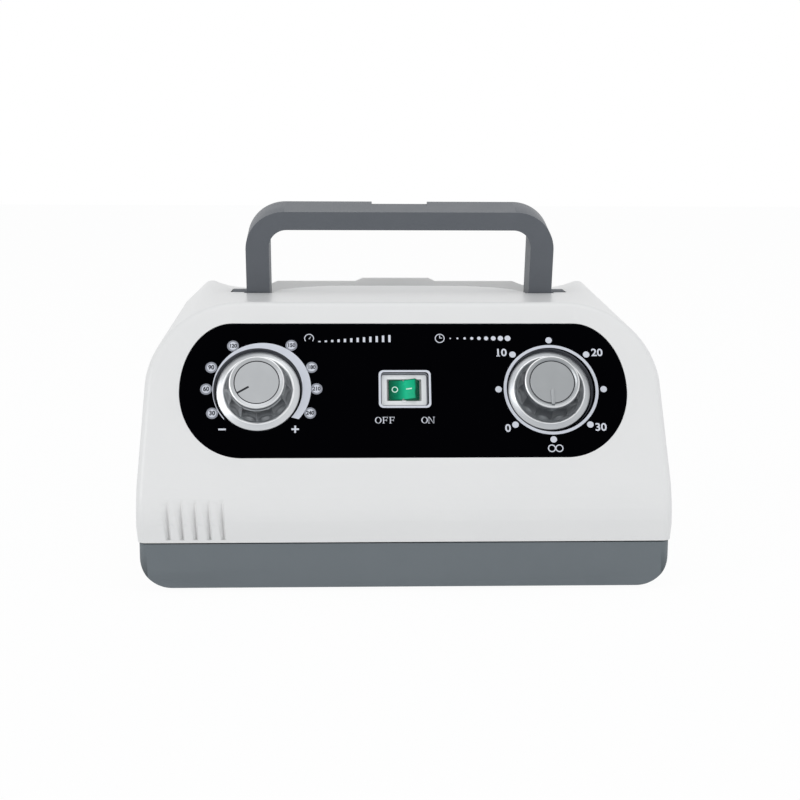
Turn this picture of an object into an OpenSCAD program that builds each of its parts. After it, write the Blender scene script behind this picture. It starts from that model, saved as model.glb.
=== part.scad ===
// Table-top air pump for compression sleeves: a white case on a grey tray, with a folding handle, a leaning
// control panel, and the pump, the air distributor, the regulator and the timer inside.
// Millimetres. X is across, Y runs from the front to the back, Z is up. The origin is on the surface that the
// feet stand on, under the middle of the case.

/* [Case] */
// Width of the case at its widest, low on the sides
case_w = 245; // [236:1:256]
// Depth of the case
case_d = 162; // [158:1:176]
// Height of the flat top above the floor
case_h = 129; // [124:1:134]
// Height of the joint between the tray and the shell
parting_z = 23.5; // [21:0.5:26]
// Height at which the front starts to lean back
slope_z = 41; // [38:1:44]
// Lean of the control face from upright, in degrees
face_tilt = 29.6; // [28:0.2:31]
// Radius of the big upper corners of the control face
corner_r = 44; // [38:1:48]
// Half width of the flat stretch of the face's top edge
corner_x = 77; // [74:0.5:78]
// Half width of the back at its top edge
back_top_x = 104.5; // [101:0.5:107]
// Half width of the back at its shoulder
back_shoulder_x = 115; // [112:0.5:117]
// How far the shoulder at the back lies under the top edge
back_shoulder_drop = 10; // [8:0.5:14]
// How much lower the top is at the back than at the front
top_fall = 1.4; // [0:0.2:3]
// Radius of the case's outer edges
edge_r = 4; // [3.4:0.1:5]
// Radius of the bend between the upright front and the leaning face
bend_r = 40; // [30:1:46]
// Thickness of the case's walls
wall = 2.6; // [2.2:0.1:3]
// Radius of the tray's lower side corners
tray_corner_r = 15; // [10:0.5:17]
// Draw-in of the sides between the widest level and the joint
side_draw = 1.3; // [0.5:0.1:2]
// Step from the shell in to the tray
tray_step = 0.5; // [0.2:0.1:1]
// Height of the dark gap between the tray and the shell
reveal = 0.7; // [0.3:0.1:1]

/* [Feet and screws] */
// Height of the rubber feet below the tray
foot_h = 2; // [1.5:0.1:3]
// Radius of the feet
foot_r = 8; // [6:0.5:10]
// Depth of the feet's seats in the tray
foot_seat = 1.2; // [0.8:0.1:1.6]
// Distance of the feet from the sides of the case
foot_side = 30.5; // [26:0.5:40]
// Distance of the feet from the front and the back
foot_inset = 24; // [20:1:30]
// Distance of the case screws from the sides of the case
screw_side = 15.5; // [14.5:0.5:18]
// Distance of the case screws from the front and the back
screw_inset = 17; // [15:0.5:19]
// Radius of the screw posts
post_r = 4.6; // [4.2:0.1:5.2]
// Shank radius of the case screws
screw_r = 1.6; // [1.4:0.05:1.8]

/* [Front panel] */
// Length of the black overlay
panel_l = 209; // [204:1:212]
// Height of the black overlay up the slope
panel_h = 66.4; // [64:0.2:68]
// Distance of the overlay's middle up the slope from where it starts
panel_s = 55.6; // [54:0.2:57]
// Thickness of the overlay
panel_t = 1.6; // [1.2:0.1:2]
// Width of the sloping band round the overlay
band_w = 5.6; // [4:0.2:6.4]
// Depth of the overlay's surface below the face
band_depth = 0.8; // [0.4:0.1:1.2]
// Depth of the wells under the knobs and the switch, below the overlay's surface
well_depth = 3.2; // [2.6:0.1:3.8]
// Radius of the knob wells
well_r = 20.65; // [20.3:0.05:21.5]
// Thickness of the overlay's cups that line the wells
cup_t = 0.8; // [0.6:0.1:1.2]
// Half distance between the knobs
knob_x = 68.1; // [66:0.1:69]

/* [Knobs] */
// Radius of a knob's skirt
skirt_r = 19.6; // [18.5:0.1:20]
// Thickness of the skirt at its edge
skirt_t = 1.4; // [1.1:0.1:1.8]
// Radius of the lip between the skirt and the fluted cone
lip_r = 16.6; // [16:0.1:17]
// Radius of a knob's cap
cap_r = 13; // [12:0.1:13.4]
// Height of a knob from its underside to the cap's face
knob_h = 13.4; // [12:0.2:15]
// Number of flutes round the cone
flute_count = 12; // [8:1:16]
// Radius of the spindles
spindle_r = 3; // [2.6:0.1:3.4]
// Length of the pointer on the cap
pointer_l = 6.8; // [5:0.2:8]
// Where the pressure knob's pointer stands, in degrees anticlockwise from the right
pressure_angle = 206; // [180:1:225]
// Where the timer knob's pointer stands, in degrees anticlockwise from the right
timer_angle = 270; // [225:1:270]

/* [Switch] */
// Length of the switch's bezel
bezel_l = 21; // [20:0.1:22]
// Height of the bezel up the slope
bezel_h = 15; // [14.4:0.1:15.4]
// Thickness of the bezel
bezel_t = 1.6; // [1.2:0.1:2]
// Length of the well round the bezel
switch_well_l = 22.2; // [21.6:0.1:24]
// Height of the well round the bezel
switch_well_h = 16.5; // [15.8:0.1:18]
// Length of the rocker, low on its ends
rocker_l = 15.2; // [14:0.1:15.4]
// Length of the rocker between the edges of its top
rocker_top_l = 12.4; // [11:0.1:13]
// Width of the rocker
rocker_w = 10.3; // [9.6:0.1:10.6]
// Tilt of the rocker each way from level
rocker_tilt = 11; // [8:0.5:12]

/* [Handle] */
// Width of the handle
handle_w = 154; // [150:1:156]
// Width of each leg
leg_w = 11.6; // [10.5:0.1:12.5]
// Depth of the legs and the bar, from their front face to their back face
handle_d = 20.5; // [19:0.1:21]
// Thickness of the bar
bar_t = 9.2; // [8:0.1:10]
// Distance of the bar's underside from the pivot
bar_reach = 41.2; // [38:0.2:42]
// Outer corner radius of the handle
handle_outer_r = 19.5; // [16:0.5:22]
// Inner corner radius of the handle
handle_inner_r = 9; // [7:0.5:11]
// Rounding of the handle's long edges
handle_edge = 0.8; // [0.4:0.1:1.2]
// Lean of the raised handle to the front, in degrees
handle_lean = 12.6; // [10:0.2:14]
// Distance of the pivot from the front of the case
pivot_y = 104.4; // [104:0.1:106]
// Depth of the pivot below the flat top at the front
pivot_drop = 7.5; // [7:0.1:8.5]
// Radius of the pivot pins
pin_r = 2.5; // [2:0.1:3]
// Length of the round hubs outside the legs
hub_l = 7.4; // [6:0.2:8]
// Radius of the hubs
hub_r = 7; // [6:0.1:8]
// Length of the finger notch in the bar
notch_l = 28; // [22:1:34]
// Depth of the finger notch
notch_depth = 1.2; // [0.8:0.1:1.8]

/* [Air pump] */
// Distance of the pump's middle to the left of the case's middle
pump_x = 54; // [50:1:56]
// Distance of the pump's middle from the front of the case
pump_y = 98; // [94:1:102]
// Length of the pump's frame
pump_l = 92; // [86:1:96]
// Width of the pump's frame
pump_w = 50; // [46:1:56]
// Height of the pump's end walls
pump_h = 42; // [38:1:46]
// Radius of the diaphragms
diaphragm_r = 17; // [15:0.5:18]
// Travel of the armature each way
stroke = 1.2; // [0.8:0.1:1.6]
// Height of the rubber mounts under the frame
mount_h = 9.4; // [8:0.2:11]

/* [Distributor] */
// Distance of the distributor to the right of the case's middle
distributor_x = 66; // [62:1:70]
// Distance of the distributor from the front of the case
distributor_y = 92; // [88:1:96]
// Radius of the motor's can
motor_r = 25; // [22:0.5:26]
// Height of the motor's can
motor_h = 18; // [14:0.5:20]
// Outer radius of the distributor
distributor_r = 23; // [21.5:0.5:24]
// Height of the distributor's body
distributor_h = 16; // [14:0.5:20]
// Radius of the rotor
rotor_r = 17; // [15:0.5:18]

/* [Air fittings] */
// Outer radius of the hoses inside
hose_r = 3.2; // [2.8:0.1:3.6]
// Number of air outlets
outlet_count = 4; // [2:1:4]
// Radius of an outlet's bore
outlet_r = 4; // [3:0.1:4.5]
// Depth of an outlet's bore
outlet_depth = 14; // [10:0.5:16]
// Distance between outlets
outlet_pitch = 14.5; // [13:0.5:15]
// Distance of the outlet socket to the right of the case's middle
outlet_x = 58; // [50:1:62]
// Height of the outlet socket above the floor
outlet_z = 52; // [46:1:58]

/* [Mains inlet] */
// Distance of the mains inlet to the left of the case's middle
inlet_x = 70; // [64:1:74]
// Distance of the mains inlet below the top of the case
inlet_drop = 43; // [40:1:46]
// Width of the inlet's cavity
inlet_w = 24.4; // [24:0.1:25]
// Height of the inlet's cavity
inlet_h = 16.6; // [16.4:0.1:17.4]
// Depth of the inlet's cavity
inlet_depth = 16; // [15:0.5:17]

/* [Hidden] */

// Clearances: face to face, running fit of a shaft, and air gap round a moving piece
seat = 0.3;
running = 0.05;
gap = 0.5;
// How far a cutting solid passes the surface that it cuts
over = 1;

front_y = -case_d / 2;
back_y = case_d / 2;
// Length of the control face up the slope, to the sharp corner with the top
face_l = (case_h - slope_z) / cos(face_tilt);
back_top_z = case_h - top_fall;

// A point of the control face: across, up the slope, and out along its normal
function on_face(x, s, out) = [
    x,
    front_y + s * sin(face_tilt) - out * cos(face_tilt),
    slope_z + s * cos(face_tilt) + out * sin(face_tilt)
];
module face_frame(x = 0, s = 0, out = 0) {
    translate(on_face(x, s, out)) rotate([90 - face_tilt, 0, 0]) children();
}
module mirrored() {
    children();
    mirror([1, 0, 0]) children();
}

// ---- Case form: the hull of equal balls set along the case's rounded edges ----

ball_facets = 20;
corner_steps = 6;
bend_steps = 3;
widest_x = case_w / 2 - edge_r;
joint_x = case_w / 2 - side_draw - edge_r;
bend_z = slope_z - bend_r * tan(face_tilt / 2);
shell_low_z = parting_z + reveal;
corner_arc = [for (i = [0:corner_steps])
    let (a = 90 * i / corner_steps)
    on_face(corner_x + (corner_r - edge_r) * sin(a), face_l - corner_r + (corner_r - edge_r) * cos(a), -edge_r)];
front_bend = [for (i = [0:bend_steps])
    let (a = face_tilt * i / bend_steps)
    [widest_x, front_y + bend_r - (bend_r - edge_r) * cos(a), bend_z + (bend_r - edge_r) * sin(a)]];
back_edge = [for (p = [[back_top_x, back_top_z], [back_shoulder_x, back_top_z - back_shoulder_drop],
                       [case_w / 2, slope_z]])
    [p[0] - edge_r, back_y - edge_r, p[1] - edge_r]];
joint_points = [for (y = [front_y + edge_r, back_y - edge_r]) [joint_x, y, parting_z - edge_r / 2]];
case_points = concat(corner_arc, front_bend, back_edge, joint_points);

module case_form(r) {
    hull()
        for (side = [-1, 1], p = case_points)
            translate([side * p[0], p[1], p[2]]) sphere(r, $fn = ball_facets);
}

// ---- Shapes used more than once ----

// A slab with straight sides and half-round ends; it can widen by some amount on all sides towards its top
module stadium_slab(l, h, depth, widen = 0) {
    for (turn = [-90, 90])
        rotate(turn) translate([0, (l - h) / 2, 0])
            rotate_extrude(angle = 180, $fn = 96)
                polygon([[0, 0], [h / 2, 0], [h / 2 + widen, depth], [0, depth]]);
    rotate([90, 0, 90])
        linear_extrude(l - h, center = true)
            polygon([[-h / 2, 0], [h / 2, 0], [h / 2 + widen, depth], [-h / 2 - widen, depth]]);
}
module rounded_plate(size, r) {
    union() {
        square([size[0] - 2 * r, size[1]], center = true);
        square([size[0], size[1] - 2 * r], center = true);
        for (x = [-1, 1], y = [-1, 1])
            translate([x * (size[0] / 2 - r), y * (size[1] / 2 - r)]) circle(r, $fn = 32);
    }
}
module box(size) {
    translate([-size[0] / 2, -size[1] / 2, 0]) cube(size);
}

// ---- Handle recess in the top: a trough for each leg, one for the bar, and a bay for the fingers ----

pivot = [pivot_y - case_d / 2, case_h - pivot_drop];
handle_x = handle_w / 2;
leg_gap = 1.5;
// The leg's front face meets the top's surface here when the handle is raised
leg_front_y = pivot[0] - (handle_d / 2 + pivot_drop * sin(handle_lean)) / cos(handle_lean);
recess_front_y = leg_front_y - seat;
bar_clearance = 1.2;
recess_back_y = pivot[0] + bar_reach + bar_t + bar_clearance;
recess_floor_z = pivot[1] - handle_d / 2 - gap;
bay_r = 38;
bay_x = handle_x - leg_w - leg_gap;
bay_depth = 38;
hub_gap = 1;

module recess_outline(grow) {
    difference() {
        translate([-handle_x - leg_gap - grow, recess_front_y - grow])
            square([2 * (handle_x + leg_gap + grow), recess_back_y - recess_front_y + 2 * grow]);
        island_outline(grow);
    }
    mirrored() hub_slot_outline(grow);
}
// The part of the top that stands between the legs, with round corners at the back
module island_outline(shrink) {
    x = bay_x - shrink;
    r = bay_r - shrink;
    y0 = front_y;
    y1 = recess_front_y + bay_depth - shrink;
    union() {
        translate([-x, y0]) square([2 * x, y1 - r - y0]);
        translate([-x + r, y0]) square([2 * (x - r), y1 - y0]);
        mirrored() translate([x - r, y1 - r]) circle(r, $fn = 96);
    }
}
module hub_slot_outline(grow) {
    w = handle_x + hub_l + hub_gap + grow;
    r = hub_r + hub_gap + grow;
    translate([0, pivot[0] - r]) translate([handle_x - leg_w, 0]) square([w - handle_x + leg_w, 2 * r]);
}

// Shallow dips in the top outside each leg, deepest at the back
dip_x = 81.6;
dip_r = 42;
dip_fall = 4.6;
module top_dips(grow) {
    reach = back_y - pivot[0];
    tilt = atan(dip_fall / reach);
    mirrored()
        translate([dip_x, pivot[0], case_h - 0.8 + dip_r])
            rotate([-90 - tilt, 0, 0])
                translate([0, 0, -reach * 0.2]) cylinder(reach * 1.4, r = dip_r + grow, $fn = 128);
}

// Low rise in the middle of the back rim
rise_w = 46;
rise_top_w = 36;
rise_h = 1.6;
module back_rise() {
    depth = back_y - edge_r / 2 - recess_back_y;
    translate([0, recess_back_y + depth, back_top_z - edge_r])
        rotate([90, 0, 0])
            linear_extrude(depth)
                polygon([[-rise_w / 2, 0], [rise_w / 2, 0], [rise_w / 2, edge_r - 0.4],
                         [rise_top_w / 2, edge_r + rise_h], [-rise_top_w / 2, edge_r + rise_h],
                         [-rise_w / 2, edge_r - 0.4]]);
}

// ---- Fittings of the control face ----

panel_out = -band_depth;
panel_floor = panel_out - panel_t;
well_floor = panel_out - well_depth;
cup_floor = well_floor - cup_t;
face_back = cup_floor - wall + 0.6;
bushing_r = 4.9;
bushing_hole_r = 5.1;
nut_r = 7.4;
nut_t = 2.2;
bushing_out = well_floor + nut_t + 0.6;
switch_hole_l = 19.4;
switch_hole_h = 13.2;
pad_margin = 3;
switch_well_r = 1.6;
module switch_well_outline(grow) {
    rounded_plate([switch_well_l + 2 * grow, switch_well_h + 2 * grow], switch_well_r + grow);
}
// Gap round the overlay, and where the sloping band starts outside it
panel_gap = 0.2;
panel_ledge = 0.5;

// Vertical grooves low on the left of the front. Each has an upright bottom line, which runs out where the front
// leans back, a steep right side, and a left side that widens upwards.
groove_count = 5;
groove_pitch = 6.2;
groove_x = -106.4;
groove_depth = 2.2;
groove_right_w = 1;
groove_foot_w = 1.3;
groove_head_w = 3.2;
groove_foot = 1.3;
groove_levels = 4;
function bend_offset(z) = bend_r - sqrt(bend_r * bend_r - max(z - bend_z, 0) * max(z - bend_z, 0));
module front_groove() {
    foot_z = shell_low_z + groove_foot;
    head_z = bend_z + sqrt(bend_r * bend_r - (bend_r - groove_depth) * (bend_r - groove_depth));
    corners = [for (i = [0:groove_levels]) let (
        z = foot_z + (head_z - foot_z) * i / groove_levels,
        w = groove_foot_w + (groove_head_w - groove_foot_w) * i / groove_levels,
        y = front_y + bend_offset(z) - 0.05)
        each [[0, front_y + groove_depth, z], [groove_right_w, y, z], [groove_right_w, front_y - over, z],
              [-w, front_y - over, z], [-w, y, z]]];
    ring = 5;
    faces = concat(
        [[for (k = [0:ring - 1]) k]],
        [for (i = [0:groove_levels - 1], k = [0:ring - 1])
            let (a = i * ring + k, b = i * ring + (k + 1) % ring)
            each [[a, b + ring, b], [a, a + ring, b + ring]]],
        [[for (k = [ring - 1:-1:0]) groove_levels * ring + k]]);
    polyhedron(corners, faces);
}
module front_grooves() {
    for (i = [0:groove_count - 1]) translate([groove_x + i * groove_pitch, 0, 0]) front_groove();
}

// ---- Back fittings: plates let into shallow pockets so that nothing stands behind the case ----

plate_t = 2.4;
plate_r = 3;
inlet_plate = [32, 25];
outlet_plate = [outlet_pitch * outlet_count + 8, 22];
pocket_back = 2.2;
module back_frame(x, z) {
    translate([x, back_y, z]) rotate([90, 0, 0]) mirror([1, 0, 0]) children();
}
// Cut for a plate's pocket, and the thicker wall behind it
module back_pocket(x, z, size) {
    back_frame(x, z)
        translate([0, 0, -over]) linear_extrude(plate_t + over) rounded_plate([size[0] + 0.4, size[1] + 0.4], plate_r);
}
module back_pad(x, z, size) {
    back_frame(x, z)
        linear_extrude(plate_t + pocket_back) rounded_plate([size[0] + 6, size[1] + 6], plate_r);
}
vent_count = 9;
vent_w = 2.4;
vent_h = 26;
vent_pitch = 5.2;
vent_z = 66;
module back_vents() {
    for (i = [0:vent_count - 1])
        translate([(i - (vent_count - 1) / 2) * vent_pitch - vent_w / 2, back_y - wall * 2, vent_z])
            cube([vent_w, wall * 3, vent_h]);
}

// ---- Shell ----

screw_y = case_d / 2 - screw_inset;
screw_x = case_w / 2 - screw_side;
foot_x = case_w / 2 - foot_side;
inlet_z = case_h - inlet_drop;
pilot_depth = 14;
pin_boss_r = pin_r + 3.2;
pin_boss_l = 4;
pin_end_x = handle_x + hub_l + hub_gap + wall + pin_boss_l;

module screw_posts(r, z0, z1) {
    for (x = [-screw_x, screw_x], y = [-screw_y, screw_y])
        translate([x, y, z0]) cylinder(z1 - z0, r = r, $fn = 32);
}
module pin_bosses() {
    mirrored()
        translate([handle_x, pivot[0], pivot[1]])
            rotate([0, 90, 0]) cylinder(pin_end_x - handle_x, r = pin_boss_r, $fn = 48);
}
// Everything inside the shell that is empty
module shell_cavity() {
    difference() {
        case_form(edge_r - wall);
        translate([0, 0, recess_floor_z - wall]) linear_extrude(case_h) recess_outline(wall);
        translate([-handle_x, recess_back_y, recess_floor_z - wall]) cube([handle_w, case_d, case_h]);
        top_dips(wall);
        pin_bosses();
        face_frame(0, panel_s, face_back)
            stadium_slab(panel_l + 2 * pad_margin, panel_h + 2 * pad_margin, -face_back + over);
        screw_posts(post_r, parting_z - over, case_h);
        back_pad(-inlet_x, inlet_z, inlet_plate);
        back_pad(outlet_x, outlet_z, outlet_plate);
        groove_backing(parting_z - over, 0);
    }
}
module groove_backing(z, spare) {
    translate([groove_x - groove_pitch - spare, front_y, z])
        cube([groove_pitch * (groove_count + 1) + 2 * spare, wall + groove_depth + spare, slope_z - z + over]);
}
// A narrow gap is left all round between the shell's lower edge and the tray; the screw posts meet
module upper_shell() color("white") {
    difference() {
        union() {
            difference() {
                case_form(edge_r);
                shell_cavity();
                slab(-case_h, shell_low_z);
            }
            screw_posts(post_r, parting_z, shell_low_z + over);
        }
        translate([0, 0, recess_floor_z]) linear_extrude(case_h) recess_outline(0);
        top_dips(0);
        mirrored()
            translate([handle_x, pivot[0], pivot[1]])
                rotate([0, 90, 0]) cylinder(pin_end_x - handle_x, r = pin_r + running, $fn = 48);
        mirrored()
            translate([pin_end_x, pivot[0], pivot[1]])
                rotate([0, 90, 0]) cylinder(pin_head_t + running, r = pin_head_r + running, $fn = 48);
        face_frame(0, panel_s, panel_out)
            stadium_slab(panel_l + 2 * panel_ledge, panel_h + 2 * panel_ledge, band_depth, band_w - panel_ledge);
        face_frame(0, panel_s, panel_floor)
            stadium_slab(panel_l + 2 * panel_gap, panel_h + 2 * panel_gap, panel_t + over);
        for (x = [-knob_x, knob_x]) {
            face_frame(x, panel_s, cup_floor)
                cylinder(well_depth + cup_t, r = well_r + cup_t + panel_gap, $fn = 96);
            face_frame(x, panel_s, face_back - over) cylinder(wall + 2 * over, r = bushing_hole_r, $fn = 48);
        }
        face_frame(0, panel_s, cup_floor)
            linear_extrude(well_depth + cup_t) switch_well_outline(cup_t + panel_gap);
        face_frame(0, panel_s, face_back - over)
            linear_extrude(wall + 2 * over) square([switch_hole_l, switch_hole_h], center = true);
        front_grooves();
        screw_posts(screw_r + running, parting_z - over, parting_z + pilot_depth);
        back_pocket(-inlet_x, inlet_z, inlet_plate);
        back_pocket(outlet_x, outlet_z, outlet_plate);
        back_frame(-inlet_x, inlet_z) linear_extrude(wall * 3)
            square([inlet_w + 2 * inlet_wall + 0.4, inlet_h + 2 * inlet_wall + 0.4], center = true);
        outlet_places() cylinder(wall * 3, r = outlet_r + outlet_wall + 0.2, $fn = 48);
        back_vents();
    }
    back_rise();
}

// ---- Tray ----

tray_w = 2 * (joint_x + edge_r - tray_step);
tray_z = foot_h;
lip_h = 3;
lip_t = 1.3;
module tray_form(inset) {
    w = tray_w - 2 * inset;
    d = case_d - 2 * tray_step - 2 * inset;
    r = tray_corner_r - inset;
    low = tray_z + inset;
    intersection() {
        translate([0, d / 2, 0]) rotate([90, 0, 0]) linear_extrude(d) {
            translate([-w / 2, low + r]) square([w, parting_z + case_h - low - r]);
            translate([-w / 2 + r, low]) square([w - 2 * r, r + over]);
            for (side = [-1, 1]) translate([side * (w / 2 - r), low + r]) circle(r, $fn = 64);
        }
        linear_extrude(case_h) rounded_plate([w, d], edge_r - min(inset, edge_r - 1));
    }
}
module slab(z0, z1) {
    translate([-case_w, -case_d, z0]) cube([2 * case_w, 2 * case_d, z1 - z0]);
}
module feet_places() {
    for (x = [-foot_x, foot_x], y = [-1, 1]) translate([x, y * (case_d / 2 - foot_inset), 0]) children();
}
screw_head_r = 3.1;
screw_head_t = 2.2;
head_seat_z = tray_z + 5.4;
floor_z = tray_z + wall;
peg_r = 2.3;
peg_h = 4;
mount_x = pump_l / 2 - 14;
mount_y = pump_w / 2 - 8;
module mount_places() {
    for (x = [-mount_x, mount_x], y = [-mount_y, mount_y])
        translate([x - pump_x, pump_y + y - case_d / 2, floor_z]) children();
}
motor_seat_h = 3;
block_x = 4;
block_y = pump_y - 36;
block_size = [40, 14, 14];
terminal_x = -72;
terminal_y = case_d - 16;
module base_tray() color("slategray") {
    difference() {
        union() {
            difference() {
                intersection() {
                    tray_form(0);
                    slab(0, parting_z);
                }
                tray_form(wall);
            }
            intersection() {
                difference() {
                    tray_form(wall - tray_step + 0.2);
                    tray_form(wall + lip_t);
                }
                slab(parting_z - lip_h, parting_z + lip_h);
            }
            intersection() {
                tray_form(0);
                screw_posts(post_r, tray_z, parting_z);
            }
            mount_places() cylinder(peg_h, r = peg_r, $fn = 32);
            translate([distributor_x, distributor_y - case_d / 2, tray_z + over])
                cylinder(wall + motor_seat_h - over, r = motor_r - 4, $fn = 64);
        }
        groove_backing(parting_z, running);
        screw_posts(screw_r + 0.3, 0, parting_z + over);
        screw_posts(screw_head_r + 0.4, 0, head_seat_z);
        feet_places() cylinder(tray_z + foot_seat, r = foot_r + 0.1, $fn = 48);
        translate([distributor_x, distributor_y - case_d / 2, floor_z])
            cylinder(motor_seat_h + over, r = motor_r - 8, $fn = 64);
    }
}

module rubber_feet() color([0.1, 0.1, 0.11]) {
    feet_places()
        difference() {
            cylinder(tray_z + foot_seat, r = foot_r, $fn = 48);
            translate([0, 0, -over]) cylinder(over + 0.8, r = foot_r / 2, $fn = 32);
        }
}

screw_l = pilot_depth + parting_z - head_seat_z - over;
module case_screws() color("silver") {
    for (x = [-screw_x, screw_x], y = [-screw_y, screw_y])
        translate([x, y, head_seat_z - screw_head_t])
            difference() {
                union() {
                    cylinder(screw_head_t, r = screw_head_r, $fn = 32);
                    cylinder(screw_head_t + screw_l, r = screw_r, $fn = 24);
                }
                for (a = [0, 90]) rotate(a) translate([-1.8, -0.4, -over]) cube([3.6, 0.8, over + 1.2]);
            }
}

// The overlay is moulded in one piece with shallow cups that line the knob wells and the switch well
module front_panel() color([0.02, 0.02, 0.03]) {
    cup_h = well_depth + cup_t - panel_t + over;
    difference() {
        union() {
            face_frame(0, panel_s, panel_floor) stadium_slab(panel_l, panel_h, panel_t);
            for (x = [-knob_x, knob_x])
                face_frame(x, panel_s, cup_floor) cylinder(cup_h, r = well_r + cup_t, $fn = 96);
            face_frame(0, panel_s, cup_floor) linear_extrude(cup_h) switch_well_outline(cup_t);
        }
        for (x = [-knob_x, knob_x]) {
            face_frame(x, panel_s, well_floor) cylinder(well_depth + over, r = well_r, $fn = 96);
            face_frame(x, panel_s, cup_floor - over) cylinder(cup_t + 2 * over, r = bushing_hole_r, $fn = 48);
        }
        face_frame(0, panel_s, well_floor) linear_extrude(well_depth + over) switch_well_outline(0);
        face_frame(0, panel_s, cup_floor - over)
            linear_extrude(cup_t + 2 * over) square([switch_hole_l, switch_hole_h], center = true);
    }
}

// ---- Handle ----

// The raised handle's own frame: its pivot at the origin, Z up the legs
module handle_frame() {
    translate([0, pivot[0], pivot[1]]) rotate([handle_lean, 0, 0]) children();
}
module handle_outline() {
    top = bar_reach + bar_t;
    difference() {
        union() {
            translate([-handle_x, 0]) square([handle_w, top - handle_outer_r]);
            translate([-handle_x + handle_outer_r, 0]) square([handle_w - 2 * handle_outer_r, top]);
            mirrored() translate([handle_x - handle_outer_r, top - handle_outer_r]) circle(handle_outer_r, $fn = 96);
        }
        inner_x = handle_x - leg_w;
        translate([-inner_x, -over]) square([2 * inner_x, bar_reach - handle_inner_r + over]);
        translate([-inner_x + handle_inner_r, -over])
            square([2 * (inner_x - handle_inner_r), bar_reach + over]);
        mirrored() translate([inner_x - handle_inner_r, bar_reach - handle_inner_r]) circle(handle_inner_r, $fn = 64);
    }
}
module carry_handle() color("slategray") {
    handle_frame()
        difference() {
            union() {
                translate([0, handle_d / 2, 0]) rotate([90, 0, 0]) linear_extrude(handle_d) handle_outline();
                mirrored()
                    translate([handle_x - leg_w, 0, 0])
                        rotate([0, 90, 0]) cylinder(leg_w, r = handle_d / 2, $fn = 64);
                mirrored()
                    translate([handle_x - over, 0, 0])
                        rotate([0, 90, 0]) cylinder(hub_l + over, r = hub_r, $fn = 48);
            }
            mirrored()
                translate([handle_x - leg_w - over, 0, 0])
                    rotate([0, 90, 0]) cylinder(leg_w + hub_l + 2 * over, r = pin_r + running, $fn = 48);
            translate([-notch_l / 2, handle_d / 2 - handle_d / 3, bar_reach + bar_t - notch_depth])
                cube([notch_l, handle_d, notch_depth + over]);
        }
}

pin_head_r = 2.8;
pin_head_t = 1.5;
module handle_pins() color("silver") {
    mirrored()
        translate([handle_x - leg_w, pivot[0], pivot[1]])
            rotate([0, 90, 0]) {
                cylinder(pin_end_x - handle_x + leg_w, r = pin_r, $fn = 48);
                translate([0, 0, pin_end_x - handle_x + leg_w]) cylinder(pin_head_t, r = pin_head_r, $fn = 48);
            }
}

// ---- Knobs and what they turn ----

knob_under = well_floor + seat;
knob_hollow_r = 9.6;
knob_hollow = 3.6;
cap_t = 3;
spindle_top = 9.6;
spindle_tail = 12;
module knob_profile() {
    cone_foot = skirt_t + 0.6;
    polygon([
        [0, 0], [skirt_r, 0], [skirt_r, skirt_t - 0.4], [skirt_r - 0.4, skirt_t],
        [lip_r + 0.6, skirt_t + 0.7], [lip_r, skirt_t + 1], [lip_r - 0.5, skirt_t + 0.8],
        [lip_r - 0.9, cone_foot - 0.2], [cap_r + 0.2, knob_h - cap_t], [cap_r, knob_h - cap_t + 0.3],
        [cap_r, knob_h - 0.8], [cap_r - 0.5, knob_h - 0.2], [cap_r - 1.1, knob_h],
        [cap_r - 1.7, knob_h - 0.2], [cap_r - 2, knob_h - 0.5], [0, knob_h - 0.5]
    ]);
}
// A knob standing on its underside, with its pointer towards +X
module knob() {
    difference() {
        rotate_extrude($fn = 96) knob_profile();
        translate([0, 0, -over]) cylinder(knob_hollow + over, r = knob_hollow_r, $fn = 48);
        translate([0, 0, -over]) cylinder(spindle_top + over, r = spindle_r + running, $fn = 32);
        for (i = [0:flute_count - 1])
            rotate((i + 0.5) * 360 / flute_count)
                translate([lip_r + 2.2, 0, skirt_t + 1.4])
                    rotate([0, -14, 0]) cylinder(knob_h - cap_t - skirt_t - 2, r = 4.4, $fn = 32);
    }
    translate([cap_r - 1.2 - pointer_l, -0.55, knob_h - 1]) cube([pointer_l, 1.1, 1.1]);
}
module spindle() {
    translate([0, 0, face_back - spindle_tail]) cylinder(knob_under + spindle_top - 0.2 - face_back + spindle_tail,
                                                         r = spindle_r, $fn = 32);
}
module panel_nut() {
    difference() {
        cylinder(nut_t, r = nut_r, $fn = 6);
        translate([0, 0, -over]) cylinder(nut_t + 2 * over, r = bushing_r + running, $fn = 48);
    }
}
module pressure_knob() color("silver") {
    face_frame(-knob_x, panel_s, knob_under) rotate(pressure_angle) knob();
}
module timer_knob() color("silver") {
    face_frame(knob_x, panel_s, knob_under) rotate(timer_angle) knob();
}
module pressure_spindle() color("goldenrod") {
    face_frame(-knob_x, panel_s) spindle();
}
module timer_spindle() color("goldenrod") {
    face_frame(knob_x, panel_s) spindle();
}
module regulator_nut() color("silver") {
    face_frame(-knob_x, panel_s, well_floor) panel_nut();
}
module timer_nut() color("silver") {
    face_frame(knob_x, panel_s, well_floor) panel_nut();
}

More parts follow.
